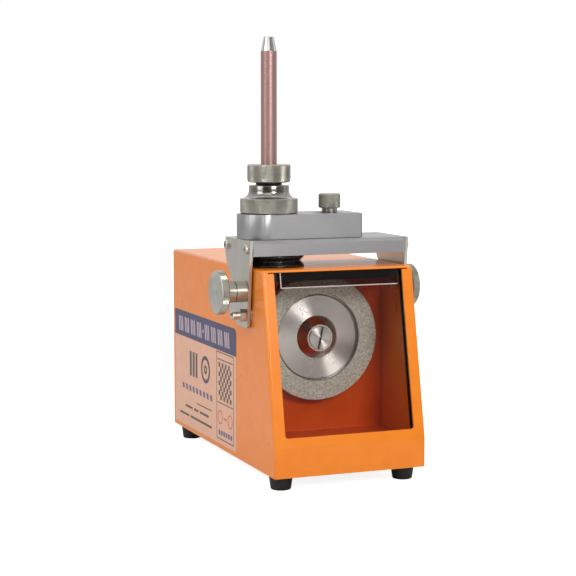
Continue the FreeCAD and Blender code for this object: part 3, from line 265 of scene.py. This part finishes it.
def black_plastic():
    """Spark-textured moulded plastic."""
    finish = Finish("black_plastic", 0.42)
    finish.colour(finish.ramp(finish.noise(3, 4), (0.3, srgb(24, 24, 25)), (0.7, srgb(34, 34, 36))))
    finish.rough(finish.span(finish.noise(0.8, 4), 0.36, 0.52))
    return finish.bump(finish.cells(0.45), 0.02)


def black_oxide():
    """Steel blackened in a hot bath."""
    finish = Finish("black_oxide", 0.35, Metallic=0.8)
    finish.colour(finish.ramp(finish.noise(2, 5), (0.3, srgb(28, 27, 27)), (0.7, srgb(52, 50, 49))))
    finish.rough(finish.span(finish.noise(1, 4), 0.28, 0.45))
    return finish.bump(finish.noise(0.4, 3), 0.006)


def zinc_plate():
    """Zinc plate, with the faint spangle and yellowish cloud that passivated sheet shows."""
    finish = Finish("zinc_plate", 0.36, Metallic=1.0)
    finish.colour(finish.ramp(finish.cells(7, output="Color"), (0.2, srgb(158, 161, 164)),
                              (0.8, srgb(190, 192, 188))))
    finish.rough(finish.span(finish.noise(6, 4), 0.28, 0.46))
    return finish.bump(finish.noise(1.5, 4), 0.01)


def cast_aluminium():
    """The grainy skin of a casting."""
    finish = Finish("cast_aluminium", 0.5, Metallic=1.0)
    finish.colour(finish.ramp(finish.noise(2, 5), (0.3, srgb(150, 151, 153)), (0.7, srgb(180, 181, 183))))
    finish.rough(finish.span(finish.noise(1, 4), 0.42, 0.62))
    return finish.bump(finish.noise(0.9, 4), 0.08)


def laminated_steel():
    """The dark steel of the motor's cores, with a fine grain."""
    finish = Finish("laminated_steel", 0.45, Metallic=1.0)
    grain = finish.noise(0.5, 2, (0.01, 1, 0.01))
    finish.colour(finish.ramp(grain, (0.35, srgb(74, 76, 80)), (0.65, srgb(120, 122, 126))))
    finish.rough(finish.span(grain, 0.35, 0.55))
    return finish.bump(grain, 0.05)


def copper_wire():
    """Enamelled copper wire, wound round the core."""
    finish = Finish("copper_wire", 0.3, Metallic=0.9, Coat_Weight=0.5, Coat_Roughness=0.15)
    strands = finish.noise(0.8, 2, (1, 0.25, 1))
    finish.colour(finish.ramp(strands, (0.3, srgb(146, 78, 38)), (0.7, srgb(202, 124, 70))))
    finish.rough(finish.span(strands, 0.24, 0.42))
    return finish.bump(strands, 0.15)


def clear_sheet(name, tint, least, most):
    """Clear acrylic: light goes through with a tint, and the gloss mirrors most of it at a slant."""
    finish = Finish(name, 0.05, Metallic=1.0)
    finish.colour(finish.ramp(finish.noise(30, 3), (0.3, srgb(228, 232, 232)), (0.7, srgb(236, 240, 240))))
    finish.rough(finish.span(finish.noise(12, 4), 0.03, 0.09))
    clear = finish.node("ShaderNodeBsdfTransparent")
    clear.inputs["Color"].default_value = tint
    layer = finish.node("ShaderNodeLayerWeight")
    layer.inputs["Blend"].default_value = 0.25
    share = finish.span(layer.outputs["Fresnel"], least, most, 0.04, 1.0)
    mix = finish.node("ShaderNodeMixShader")
    finish.link(share, mix.inputs["Fac"])
    finish.link(clear.outputs["BSDF"], mix.inputs[1])
    finish.link(finish.shader.outputs["BSDF"], mix.inputs[2])
    finish.link(mix.outputs["Shader"], finish.tree.nodes["Material Output"].inputs["Surface"])
    return finish


def printed(name, low, high, roughness=0.4):
    """Ink or film with a faint unevenness and a soft plastic gloss."""
    finish = Finish(name, roughness, Coat_Weight=0.15, Coat_Roughness=0.3)
    finish.colour(finish.ramp(finish.noise(6, 4), (0.3, low), (0.7, high)))
    finish.rough(finish.span(finish.noise(3, 3), roughness - 0.05, roughness + 0.08))
    return finish.bump(finish.noise(2.2, 3), 0.012)


spindle_low, spindle_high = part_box("wheel_flange")
SPINDLE = (spindle_low + spindle_high) / 2

PAINT = orange_paint("orange_powder_coat", srgb(226, 122, 16), srgb(231, 128, 19))
# A darker, redder copy of the orange paint, for the chamber liner only: painted shade inside the enclosed
# chamber.
SHADED_CHAMBER_PAINT = orange_paint("chamber_paint_with_painted_shade", srgb(224, 88, 16), srgb(230, 96, 19))
SATIN = brushed("satin_aluminium", srgb(162, 161, 162), srgb(150, 149, 150), 0.42, (0.12, 1, 1))
STAINLESS = brushed("brushed_stainless", srgb(204, 200, 190), srgb(186, 182, 172), 0.3, (1, 1, 0.08))
NICKEL = nickel()
POLISHED = polished("polished_steel", srgb(200, 197, 193), srgb(222, 219, 216), 0.08)
COVE = polished("polished_nickel", srgb(138, 134, 129), srgb(156, 152, 147), 0.17)
BRONZE = rose_bronze()
GRIT = diamond_grit()
FACED = turned_metal("faced_steel", srgb(226, 226, 222), srgb(216, 215, 211), 0.28, SPINDLE, "Y", 0.8, 0.97)
CONE = turned_metal("polished_cone", srgb(214, 206, 200), srgb(198, 190, 184), 0.13, SPINDLE, "Y", 0.3, 0.5)
WHEEL = turned_metal("ground_steel", srgb(186, 185, 182), srgb(166, 165, 162), 0.33, SPINDLE, "Y", 0.35, 0.4)
FOOT_RUBBER = rubber("foot_rubber", 0.5, 12, 0.8)
SEAL_RUBBER = rubber("seal_rubber", 0.45, 20, 0.6)
BOOT_RUBBER = rubber("boot_rubber", 0.24, 12, 1.8)
PLASTIC = black_plastic()
OXIDE = black_oxide()
ZINC = zinc_plate()
CASTING = cast_aluminium()
LAMINATED = laminated_steel()
COPPER = copper_wire()
PANE = clear_sheet("clear_pane", srgb(248, 246, 245), 0.03, 0.7)
STRIP = clear_sheet("clear_strip", srgb(196, 184, 178), 0.05, 0.7)
FILM = printed("label_film", srgb(218, 164, 134), srgb(224, 171, 141))
BAND_INK = printed("band_ink", srgb(44, 40, 80), srgb(50, 46, 88))
PALE_INK = printed("pale_ink", srgb(190, 166, 176), srgb(200, 176, 186))
DARK_INK = printed("dark_ink", srgb(44, 50, 54), srgb(52, 58, 62))
BLUE_INK = printed("blue_ink", srgb(72, 68, 112), srgb(80, 76, 120))
RED_INK = printed("red_ink", srgb(192, 70, 44), srgb(200, 80, 52))
MARK_INK = printed("switch_mark", srgb(224, 224, 220), srgb(236, 236, 232))
# Pale colour for the lit left and bottom edges of the clear strip: a painted highlight.
STRIP_EDGE_HIGHLIGHT = printed("strip_edge_painted_highlight", srgb(176, 160, 154), srgb(196, 180, 174), 0.3)

# The finish of each CAD node that is shown
NODE_FINISHES = {
    PAINT: "casing_shell rear_panel clamp_nuts pivot_studs",
    SHADED_CHAMBER_PAINT: "chamber_liner",
    ZINC: "base_pan motor_bracket motor_face_bolts bracket_screws foot_screws foot_nuts",
    FOOT_RUBBER: "rubber_feet",
    SEAL_RUBBER: "pane_seals",
    PANE: "window_pane",
    STRIP: "window_strip",
    FILM: "side_label",
    STAINLESS: "left_side_plate right_side_plate side_plate_screws rear_panel_screws inlet_screws "
               "pivot_washers pivot_nuts",
    SATIN: "bridge_plate guide_block run_capacitor",
    NICKEL: "clamp_bush guide_sleeve collet_tube",
    POLISHED: "holder_cap bearing_inner_rings bearing_outer_rings bearing_balls motor_shaft",
    BRONZE: "holder_stem",
    GRIT: "diamond_ring",
    FACED: "wheel_flange wheel_screw",
    CONE: "nose_cone",
    WHEEL: "wheel_core wheel_hub",
    LAMINATED: "rotor_core stator_core",
    COPPER: "stator_windings inlet_pins",
    CASTING: "motor_front_bell motor_rear_bell motor_can",
    PLASTIC: "power_inlet switch_body switch_rocker terminal_block cooling_fan",
    OXIDE: "holder_bush",
}
for finish, names in NODE_FINISHES.items():
    for name in names.split():
        for slot in nodes[name].material_slots:
            slot.material = finish.material


# ---------------------------------------------------------------------------------------------
# Mesh building
# ---------------------------------------------------------------------------------------------

# The turn from a profile's own axis, +Z, to each direction
TURNS = {
    "z": Matrix.Identity(3),
    "y": Matrix(((1, 0, 0), (0, 0, 1), (0, -1, 0))),
    "x": Matrix(((0, 0, 1), (0, 1, 0), (-1, 0, 0))),
    "-x": Matrix(((0, 0, -1), (0, 1, 0), (1, 0, 0))),
}


def piece(name, body, finish, points, faces, crease=30):
    """A new mesh, from points in metres. It rides on the body, unless that is None."""
    mesh = bpy.data.meshes.new(name)
    mesh.from_pydata([tuple(point) for point in points], [], faces)
    mesh.validate()
    mesh.materials.append(finish.material)
    mesh.shade_smooth()
    mesh.set_sharp_from_angle(angle=math.radians(crease))
    made = bpy.data.objects.new(name, mesh)
    bpy.context.scene.collection.objects.link(made)
    if body:
        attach(made, body)
    return made


def lathe(centre, axis, profile, teeth=0, depth=0.0, steps=96):
    """Points and faces of a closed round solid.

    A profile row is (radius, distance along the axis, share of the knurl), in millimetres. The
    profile runs from pole to pole if it starts and ends at radius 0, and is a loop if not.
    """
    steps = teeth * 4 if teeth else steps
    turn = TURNS[axis]
    points, rings = [], []
    for radius, along, share in profile:
        if radius == 0:
            rings.append([len(points)])
            points.append(Vector(centre) + turn @ Vector((0, 0, along)) * MM)
            continue
        ring = []
        for step in range(steps):
            angle = 2 * math.pi * step / steps
            reach = radius - depth * share * (0.5 - 0.5 * math.cos(teeth * angle))
            ring.append(len(points))
            spot = Vector((reach * math.cos(angle), reach * math.sin(angle), along))
            points.append(Vector(centre) + turn @ spot * MM)
        rings.append(ring)
    closed = profile[0][0] != 0
    faces = []
    for number in range(len(rings) if closed else len(rings) - 1):
        low, high = rings[number], rings[(number + 1) % len(rings)]
        for step in range(steps):
            after = (step + 1) % steps
            if len(low) == 1:
                faces.append((low[0], high[after], high[step]))
            elif len(high) == 1:
                faces.append((low[step], low[after], high[0]))
            else:
                faces.append((low[step], low[after], high[after], high[step]))
    return points, faces


def rounded(corner_from, corner, corner_to, radius, count=6):
    """Profile rows for a fillet of this radius at a corner between two other points."""
    first = (Vector(corner_from) - Vector(corner)).normalized()
    second = (Vector(corner_to) - Vector(corner)).normalized()
    half = first.angle(second) / 2
    middle = Vector(corner) + (first + second).normalized() * radius / math.sin(half)
    start = Vector(corner) + first * radius / math.tan(half) - middle
    end = Vector(corner) + second * radius / math.tan(half) - middle
    rows = []
    for number in range(count + 1):
        spot = middle + start.slerp(end, number / count).normalized() * radius
        rows.append((spot.x, spot.y, 0))
    return rows


def slab(low, high):
    """Points and faces of a box between two corners."""
    xs, ys, zs = zip(low, high)
    points = [Vector((x, y, z)) for x in xs for y in ys for z in zs]
    faces = [(0, 1, 3, 2), (4, 6, 7, 5), (0, 4, 5, 1), (2, 3, 7, 6), (0, 2, 6, 4), (1, 5, 7, 3)]
    return points, faces


def merged(*parts):
    """Several sets of points and faces as one."""
    points, faces = [], []
    for some_points, some_faces in parts:
        first = len(points)
        points += some_points
        faces += [tuple(first + index for index in face) for face in some_faces]
    return points, faces


def soften(thing, width):
    """Small rounded edges, this many millimetres wide, that catch the light."""
    weld = thing.modifiers.new("weld", "WELD")
    weld.merge_threshold = 0.01 * MM
    bevel = thing.modifiers.new("edges", "BEVEL")
    bevel.width = width * MM
    bevel.segments = 2
    bevel.limit_method = "ANGLE"
    bevel.angle_limit = math.radians(40)
    bevel.harden_normals = True


def repaint(thing, finish, test):
    """Give another finish to the faces whose middle passes the test."""
    thing.data.materials.append(finish.material)
    last = len(thing.data.materials) - 1
    for face in thing.data.polygons:
        if test(face.center):
            face.material_index = last


# ---------------------------------------------------------------------------------------------
# Knurled parts
# ---------------------------------------------------------------------------------------------

KNURL_PITCH, KNURL_DEPTH = 0.95, 0.32  # millimetres


def teeth_round(radius):
    """How many teeth of the knurl go round a part of this radius."""
    return round(2 * math.pi * radius / KNURL_PITCH)


def upright(node):
    """The axis of an upright round node, with its radius, bottom and top in millimetres."""
    low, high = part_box(node)
    centre = ((low.x + high.x) / 2, (low.y + high.y) / 2, 0)
    return centre, (high.x - low.x) / 2 / MM, low.z / MM, high.z / MM


casing_low, casing_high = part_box("casing_shell")
MIDDLE = (casing_low.x + casing_high.x) / 2


def make_knob(side, axis, hub_length):
    """A clamp knob: stud, hub, and a knurled head with a faced end."""
    name = f"{side}_knob"
    low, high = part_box(name)
    centre = (MIDDLE, (low.y + high.y) / 2, (low.z + high.z) / 2)
    rim = (high.z - low.z) / 2 / MM
    tip, face = sorted(abs(x - MIDDLE) / MM for x in (low.x, high.x))
    hub, stud, head, edge = 8.5, 3.0, face - 6.5, 0.8
    hub_start = head - hub_length
    dimple, dimple_floor, dimple_depth = 1.6, 0.6, 0.5
    profile = [
        (0, tip, 0), (stud - 0.5, tip, 0), (stud, tip + 0.5, 0), (stud, hub_start, 0),
        (hub - 0.3, hub_start, 0), (hub, hub_start + 0.3, 0),
        *rounded((hub, hub_start), (hub, head), (rim, head), edge),
        (rim - edge, head, 0), (rim, head + edge, 1), (rim, face - edge, 1), (rim - 0.7, face - 0.1, 0),
        (rim - 0.9, face, 0), (dimple, face, 0), (dimple_floor, face - dimple_depth, 0),
        (0, face - dimple_depth, 0),
    ]
    points, faces = lathe(centre, axis, profile, teeth_round(rim), KNURL_DEPTH)
    knob = piece(f"{name}_knurled", f"knob_{side}", NICKEL, points, faces)
    finish = turned_metal(f"faced_nickel_{side}", srgb(196, 194, 187), srgb(180, 178, 170), 0.3, centre, "X",
                          0.3, 0.4)
    repaint(knob, finish, lambda middle: abs(middle.x - MIDDLE) > (face - 0.3) * MM)
    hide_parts(name)


def make_feed_ring():
    """The ring under the holder: a knurled flange, and a polished neck that flares into it."""
    centre, rim, bottom, top = upright("feed_ring")
    shoulder, neck, bore, mouth, ledge = bottom + 12, 16.4, 12.05, 7.2, top - 4.8
    profile = [
        (rim - 1, bottom, 0), (rim - 0.2, bottom + 0.7, 0), (rim, bottom + 1, 1), (rim, shoulder - 0.5, 1),
        (rim - 0.5, shoulder, 0),
        *rounded((rim, shoulder), (neck, shoulder + 1.2), (neck, top), 6, 10),
        *rounded((neck, shoulder), (neck, top), (mouth, top), 0.5, 3),
        *rounded((neck, top), (mouth, top), (mouth, bottom), 0.4, 3),
        (mouth, ledge, 0), (bore, ledge, 0), (bore, bottom, 0),
    ]
    points, faces = lathe(centre, "z", profile, teeth_round(rim), KNURL_DEPTH)
    ring = piece("feed_ring_knurled", "guide_ring", NICKEL, points, faces)
    repaint(ring, COVE, lambda middle: middle.z > (shoulder + 0.05) * MM)
    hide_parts("feed_ring")


def make_holder_nut():
    """The knurled nut of the electrode holder, with a seat for the stem and a bore for the collet."""
    centre, rim, bottom, top = upright("holder_nut")
    stem, collet, floor = 6.4, 4.0, top - 6
    profile = [
        (rim - 1, bottom, 0), (rim - 0.15, bottom + 0.8, 0), (rim, bottom + 1, 1), (rim, top - 1, 1),
        (rim - 0.15, top - 0.8, 0), (rim - 0.9, top, 0), (stem + 0.7, top, 0), (stem, top - 0.5, 0),
        (stem, floor, 0), (collet, floor, 0), (collet, bottom, 0),
    ]
    points, faces = lathe(centre, "z", profile, teeth_round(rim), KNURL_DEPTH)
    nut = piece("holder_nut_knurled", "holder_rotor", NICKEL, points, faces)
    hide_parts("holder_nut")


def make_thumb_screw():
    """The clamp screw on the guide block: shank, collar, and a knurled head with a shallow dish."""
    centre, rim, tip, top = upright("thumb_screw")
    head, seat, shank, collar = top - 11.8, top - 15.1, 3.0, 6.5
    profile = [
        (0, tip, 0), (shank - 0.5, tip, 0), (shank, tip + 0.5, 0), (shank, seat, 0),
        (collar - 0.3, seat, 0), (collar, seat + 0.3, 0), (collar, head, 0),
        (rim - 0.6, head, 0), (rim, head + 0.6, 1), (rim, top - 0.9, 1), (rim - 0.15, top - 0.75, 0),
        (rim - 0.8, top, 0), (rim - 2.2, top, 0), (rim - 2.5, top - 0.2, 0), (0, top - 0.2, 0),
    ]
    points, faces = lathe(centre, "z", profile, teeth_round(rim), KNURL_DEPTH * 0.8)
    screw = piece("thumb_screw_knurled", "clamp_screw", NICKEL, points, faces)
    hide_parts("thumb_screw")


# ---------------------------------------------------------------------------------------------
# Rubber boot
# ---------------------------------------------------------------------------------------------

def make_boot():
    """A soft ring with one deep fold. It rides on no body."""
    centre, rim, bottom, top = upright("rubber_boot")
    middle, lip, wall, waist = (bottom + top) / 2, 1.5, 1.2, rim - 3.4
    inner_rim, inner_waist = rim - 4.8, rim - 3.4 - wall
    outside = [
        *rounded((inner_rim, bottom), (rim, bottom), (rim, top), 0.6, 4),
        *rounded((rim, bottom), (rim, bottom + lip), (waist, middle), 0.5, 4),
        *rounded((rim, bottom + lip), (waist, middle), (rim, top - lip), 0.9, 6),
        *rounded((waist, middle), (rim, top - lip), (rim, top), 0.5, 4),
        *rounded((rim, bottom), (rim, top), (inner_rim, top), 0.6, 4),
    ]
    inside = [
        (inner_rim, top, 0), (inner_rim - 0.2, top - lip, 0), (inner_waist - 0.6, middle, 0),
        (inner_rim - 0.2, bottom + lip, 0), (inner_rim, bottom, 0),
    ]
    points, faces = lathe(centre, "z", outside + inside, steps=120)
    boot = piece("boot_bellows", None, BOOT_RUBBER, points, faces, 50)
    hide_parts("rubber_boot")
    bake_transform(boot)


# ---------------------------------------------------------------------------------------------
# Window and wheel details
# ---------------------------------------------------------------------------------------------

LEAN = 27 / 136.5  # how far the window leans back, for each unit of height


def lean_back(points, low, shift):
    """Put the points on the slope that starts at a node's lowest corner, this much further back."""
    for point in points:
        point.y += low.y + LEAN * (point.z - low.z) + shift


def make_strip_edge_highlights():
    """Pale lines along the left and bottom edges of the clear strip: painted highlights where the edges
    catch the light.
    """
    low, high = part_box("window_strip")
    proud, line = 0.06 * MM, 0.75 * MM

    points, faces = merged(
        slab((low.x, 0, low.z), (high.x, line, low.z + line)),
        slab((low.x, 0, low.z + line), (low.x + line, line, high.z)),
    )
    lean_back(points, low, -proud)
    piece("window_strip_painted_highlights", "housing", STRIP_EDGE_HIGHLIGHT, points, faces)


def make_slot_shadow():
    """A dark strip in the black oxide finish on the floor of the centre screw's slot: painted shadow in the
    slot.
    """
    low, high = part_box("wheel_screw")
    middle = Vector(((low.x + high.x) / 2, low.y, (low.z + high.z) / 2))
    half_width, half_length, near, far = 0.75, 9.3, 1.35, 1.6
    points, faces = slab((-half_width, near, -half_length), (half_width, far, half_length))
    tilt = Matrix.Rotation(math.radians(12), 3, "Y")
    points = [middle + tilt @ point * MM for point in points]
    # The dark strip is painted shadow at the bottom of the slot.
    piece("wheel_screw_slot_painted_shadow", "wheel_spindle", OXIDE, points, faces)


def make_top_shade_strip():
    """A dark strip of seal rubber across the top of the pane, behind it: painted shade under the roof."""
    low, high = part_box("window_pane")
    back, gauge, drop, inset = 3.2 * MM, 3.0 * MM, 7.0 * MM, 2 * MM
    points, faces = slab((low.x + inset, 0, high.z - drop), (high.x - inset, gauge, high.z))
    lean_back(points, low, back)
    # The dark strip is painted shade at the top of the window.
    piece("pane_top_painted_shade", "housing", SEAL_RUBBER, points, faces)


# ---------------------------------------------------------------------------------------------
# Side label: plain generic shapes in place of any print
# ---------------------------------------------------------------------------------------------

label_low, label_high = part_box("side_label")
LABEL_LENGTH = (label_high.y - label_low.y) / MM
LABEL_HEIGHT = (label_high.z - label_low.z) / MM
INK = 0.06 * MM  # the thickness of one layer of ink


def on_label(back, rise):
    """A point on the label, back from its front end and up from its lower edge, in millimetres."""
    return label_low.y + back * MM, label_low.z + rise * MM


def print_slab(back, rise, length, height, lean=0.0, layer=1):
    """A printed bar. Its top is shifted back by lean, in millimetres. Layer 2 lies on other ink."""
    y, z = on_label(back, rise)
    points, faces = slab((label_low.x - INK * layer, y, z),
                         (label_low.x - INK * (layer - 1), y + length * MM, z + height * MM))
    for point in points:
        point.y += lean * MM * (point.z - z) / (height * MM)
    return points, faces


def print_ring(back, rise, outer, inner):
    """A printed ring about a point of the label."""
    sides = 48
    y, z = on_label(back, rise)
    points, faces = [], []
    for depth in (label_low.x - INK, label_low.x):
        for radius in (outer, inner):
            for step in range(sides):
                angle = 2 * math.pi * step / sides
                points.append(Vector((depth, y + radius * MM * math.cos(angle),
                                      z + radius * MM * math.sin(angle))))
    for step in range(sides):
        after = (step + 1) % sides
        top_out, top_in, low_out, low_in = 0, sides, 2 * sides, 3 * sides
        faces.append((top_out + step, top_in + step, top_in + after, top_out + after))
        faces.append((low_out + step, low_out + after, low_in + after, low_in + step))
        faces.append((top_out + step, top_out + after, low_out + after, low_out + step))
        faces.append((top_in + step, low_in + step, low_in + after, top_in + after))
    return points, faces


def printing(name, finish, parts):
    """One piece of print, from several shapes in the same ink."""
    points, faces = merged(*parts)
    piece(name, "housing", finish, points, faces)


def make_label_band():
    """The dark band along the top of the label, with one rounded corner and slanted pale stripes."""
    height, corner, steps = 23, 5, 6
    bottom = LABEL_HEIGHT - height
    outline = [(0, bottom), (LABEL_LENGTH, bottom), (LABEL_LENGTH, LABEL_HEIGHT)]
    for step in range(steps + 1):
        angle = math.pi / 2 + math.pi / 2 * step / steps
        outline.append((corner + corner * math.cos(angle), LABEL_HEIGHT - corner + corner * math.sin(angle)))
    points = []
    for depth in (label_low.x - INK, label_low.x):
        points += [Vector((depth, *on_label(back, rise))) for back, rise in outline]
    count = len(outline)
    faces = [tuple(range(count))[::-1], tuple(range(count, 2 * count))]
    for step in range(count):
        after = (step + 1) % count
        faces.append((step, after, count + after, count + step))
    printing("label_band", BAND_INK, [(points, faces)])

    stripes = []
    for group in range(8):
        word_gap = 4 if group > 3 else 0
        start = 16 + group * 17 + word_gap
        for bar in range(3):
            stripes.append(print_slab(start + bar * 4.4, LABEL_HEIGHT - 18.5, 2.4, 13, 1.6, 2))
    stripes.append(print_slab(82.4, LABEL_HEIGHT - 13.5, 2.6, 2.6, 0, 2))
    printing("label_band_stripes", PALE_INK, stripes)


def make_label_emblem():
    """Plain shapes below the band: rings and bars, a row of slanted squares, and rows of lines."""
    emblem = [print_ring(78, 58, 12, 8.6), print_ring(78, 58, 4, 1.6)]
    emblem += [print_slab(back, 47, 5, 22) for back in (100, 108, 116)]
    printing("label_emblem", DARK_INK, emblem)

    dots = [print_slab(60 + 9.5 * number, 33, 5, 5, 1.5) for number in range(9)]
    printing("label_dots", BLUE_INK, dots)

    lines = []
    for back, rise, gauge, lengths in ((62, 24, 1, (40,)), (70, 17, 2, (24, 12, 20)), (62, 9, 2, (58, 26))):
        for length in lengths:
            lines.append(print_slab(back, rise, length, gauge))
            back += length + 4
    printing("label_lines", DARK_INK, lines)


def make_label_panel():
    """The framed panel at the label's front end: a regular checker, and plain marks under it."""
    left, right, bottom, top, rule = 6, 49, 4, 79, 0.9
    width, height = right - left, top - bottom
    panel = [
        print_slab(left, bottom, width, rule), print_slab(left, top - rule, width, rule),
        print_slab(left, bottom + rule, rule, height - 2 * rule),
        print_slab(right - rule, bottom + rule, rule, height - 2 * rule),
        print_slab(left + 2, 72, width - 4, rule), print_slab(left + 2, 35, width - 4, rule),
    ]
    cell, across = 4.0, 8
    for row in range(across):
        for column in range(across):
            if (row + column) % 2 == 0:
                panel.append(print_slab(left + 5.5 + column * cell, 38 + row * cell, cell, cell))
    printing("label_panel", DARK_INK, panel)

    marks = [print_ring(left + 9, 23, 6, 4.8), print_ring(right - 9, 23, 6, 4.8),
             print_slab(left + 18, 22.2, 7, 1.6)]
    printing("label_marks", RED_INK, marks)
    printing("label_notes", BLUE_INK, [print_slab(left + 4 + 6 * number, 8, 4, 4) for number in range(6)])


# ---------------------------------------------------------------------------------------------
# Switch marks: a plain bar for on and a plain ring for off
# ---------------------------------------------------------------------------------------------

def make_switch_marks():
    """The bar and the ring, on the rocker's face: two wings that flare from a dip in the middle."""
    pivot = Vector([joint for joint in frame["joints"] if joint["name"] == "switch_rock"][0]["pos_m"])
    settled = Matrix.Rotation(math.radians(-8), 3, "X")
    dip, flare, wing, mark_rise = 2.9, 1.5, 6.6, 3.4
    slope = math.atan2(flare, wing)
    half_height, half_width, outer, inner, thick, sunk = 2.2, 0.45, 2.0, 1.3, 0.12, -0.3
    bar_points, bar_faces = slab((-half_width, sunk, -half_height), (half_width, thick, half_height))
    ring_points, ring_faces = lathe((0, 0, 0), "y", [(outer, sunk, 0), (outer, thick, 0), (inner, thick, 0),
                                                     (inner, sunk, 0)], steps=40)
    ring_points = [point / MM for point in ring_points]
    parts = []
    for rise, points, faces in ((mark_rise, bar_points, bar_faces), (-mark_rise, ring_points, ring_faces)):
        tilt = Matrix.Rotation(-slope if rise > 0 else slope, 3, "X")
        spot = Vector((0, dip + flare * abs(rise) / wing, rise))
        parts.append(([pivot + settled @ (tilt @ point + spot) * MM for point in points], faces))
    points, faces = merged(*parts)
    piece("switch_marks", "rocker", MARK_INK, points, faces)


make_knob("left", "-x", hub_length=8.8)
make_knob("right", "x", hub_length=2.3)
make_feed_ring()
make_holder_nut()
make_thumb_screw()
make_boot()
make_slot_shadow()
make_strip_edge_highlights()
make_top_shade_strip()
make_label_band()
make_label_emblem()
make_label_panel()
make_switch_marks()
for name, width in (("bridge_plate", 0.3), ("left_side_plate", 0.25), ("right_side_plate", 0.25),
                    ("guide_block", 0.35), ("casing_shell", 0.25)):
    soften(nodes[name], width)


# ---------------------------------------------------------------------------------------------
# Studio
# ---------------------------------------------------------------------------------------------

def make_floor():
    """A pale grey floor that shows white to the camera, and adds no glow of its own to the metal."""
    finish = Finish("studio_floor", 0.7, Emission_Color=(1, 1, 1, 1))
    seen = finish.node("ShaderNodeLightPath")
    glow = finish.span(seen.outputs["Is Camera Ray"], 0.0, 0.85, 0.0, 1.0)
    finish.link(glow, finish.shader.inputs["Emission Strength"])
    finish.colour(finish.ramp(finish.noise(400, 2), (0.3, srgb(204, 204, 204)), (0.7, srgb(210, 210, 210))))
    half = 6.0
    mesh = bpy.data.meshes.new("floor")
    mesh.from_pydata([(-half, -half, 0), (half, -half, 0), (half, half, 0), (-half, half, 0)], [],
                     [(0, 1, 2, 3)])
    mesh.materials.append(finish.material)
    floor = bpy.data.objects.new("floor", mesh)
    bpy.context.scene.collection.objects.link(floor)


AIM = Vector((0, -0.05, 0.14))  # the middle of the machine's front half


def softbox(name, place, width, height, power):
    """A rectangular area light, pointed at the machine."""
    data = bpy.data.lights.new(name, "AREA")
    data.shape = "RECTANGLE"
    data.size, data.size_y = width, height
    data.energy = power
    light = bpy.data.objects.new(name, data)
    bpy.context.scene.collection.objects.link(light)
    light.location = place
    light.rotation_euler = (AIM - Vector(place)).to_track_quat("-Z", "Y").to_euler()


def make_world():
    """White to the camera. For the rest it is bright above and behind, and dark in front, so that the
    metal has something to mirror.
    """
    world = bpy.data.worlds.new("studio")
    bpy.context.scene.world = world
    world.use_nodes = True
    tree = world.node_tree
    background = tree.nodes["Background"]
    direction = tree.nodes.new("ShaderNodeTexCoord")
    slope = tree.nodes.new("ShaderNodeVectorMath")
    slope.operation = "DOT_PRODUCT"
    slope.inputs[1].default_value = (0.15, 0.5, 0.7)
    tree.links.new(direction.outputs["Generated"], slope.inputs[0])
    spread = tree.nodes.new("ShaderNodeMapRange")
    for socket, value in (("From Min", -0.35), ("From Max", 0.7), ("To Min", 0.03), ("To Max", 1.05)):
        spread.inputs[socket].default_value = value
    tree.links.new(slope.outputs["Value"], spread.inputs["Value"])
    seen = tree.nodes.new("ShaderNodeLightPath")
    strength = tree.nodes.new("ShaderNodeMix")
    strength.data_type = "FLOAT"
    strength.inputs[3].default_value = 1.0
    tree.links.new(seen.outputs["Is Camera Ray"], strength.inputs["Factor"])
    tree.links.new(spread.outputs["Result"], strength.inputs[2])
    tree.links.new(strength.outputs[0], background.inputs["Strength"])
    background.inputs["Color"].default_value = (1, 1, 1, 1)


def make_camera():
    """A long lens at the front left, a little above the bridge."""
    data = bpy.data.cameras.new("camera")
    data.sensor_width = 36
    data.lens = 100
    data.shift_y = -0.0047
    data.clip_end = 20
    camera = bpy.data.objects.new("camera", data)
    bpy.context.scene.collection.objects.link(camera)
    camera.location = (MIDDLE - 0.5065, -1.2636, 0.2904)
    view = Vector((0.3683, 0.9239, -0.1036))
    camera.rotation_euler = view.to_track_quat("-Z", "Y").to_euler()
    bpy.context.scene.camera = camera


make_floor()
make_world()
make_camera()
softbox("key", (0.12, -1.35, 0.62), 0.4, 0.3, power=8.5)
softbox("front", (-0.6, -1.2, 1.2), 1.0, 0.8, power=3)
softbox("side", (-1.5, -0.5, 0.8), 0.9, 1.0, power=9)
softbox("fill", (1.4, -0.3, 0.6), 0.3, 1.0, power=0.7)
softbox("top", (0.1, 0.35, 1.5), 1.2, 1.2, power=4)
bpy.context.scene.view_settings.view_transform = "Standard"
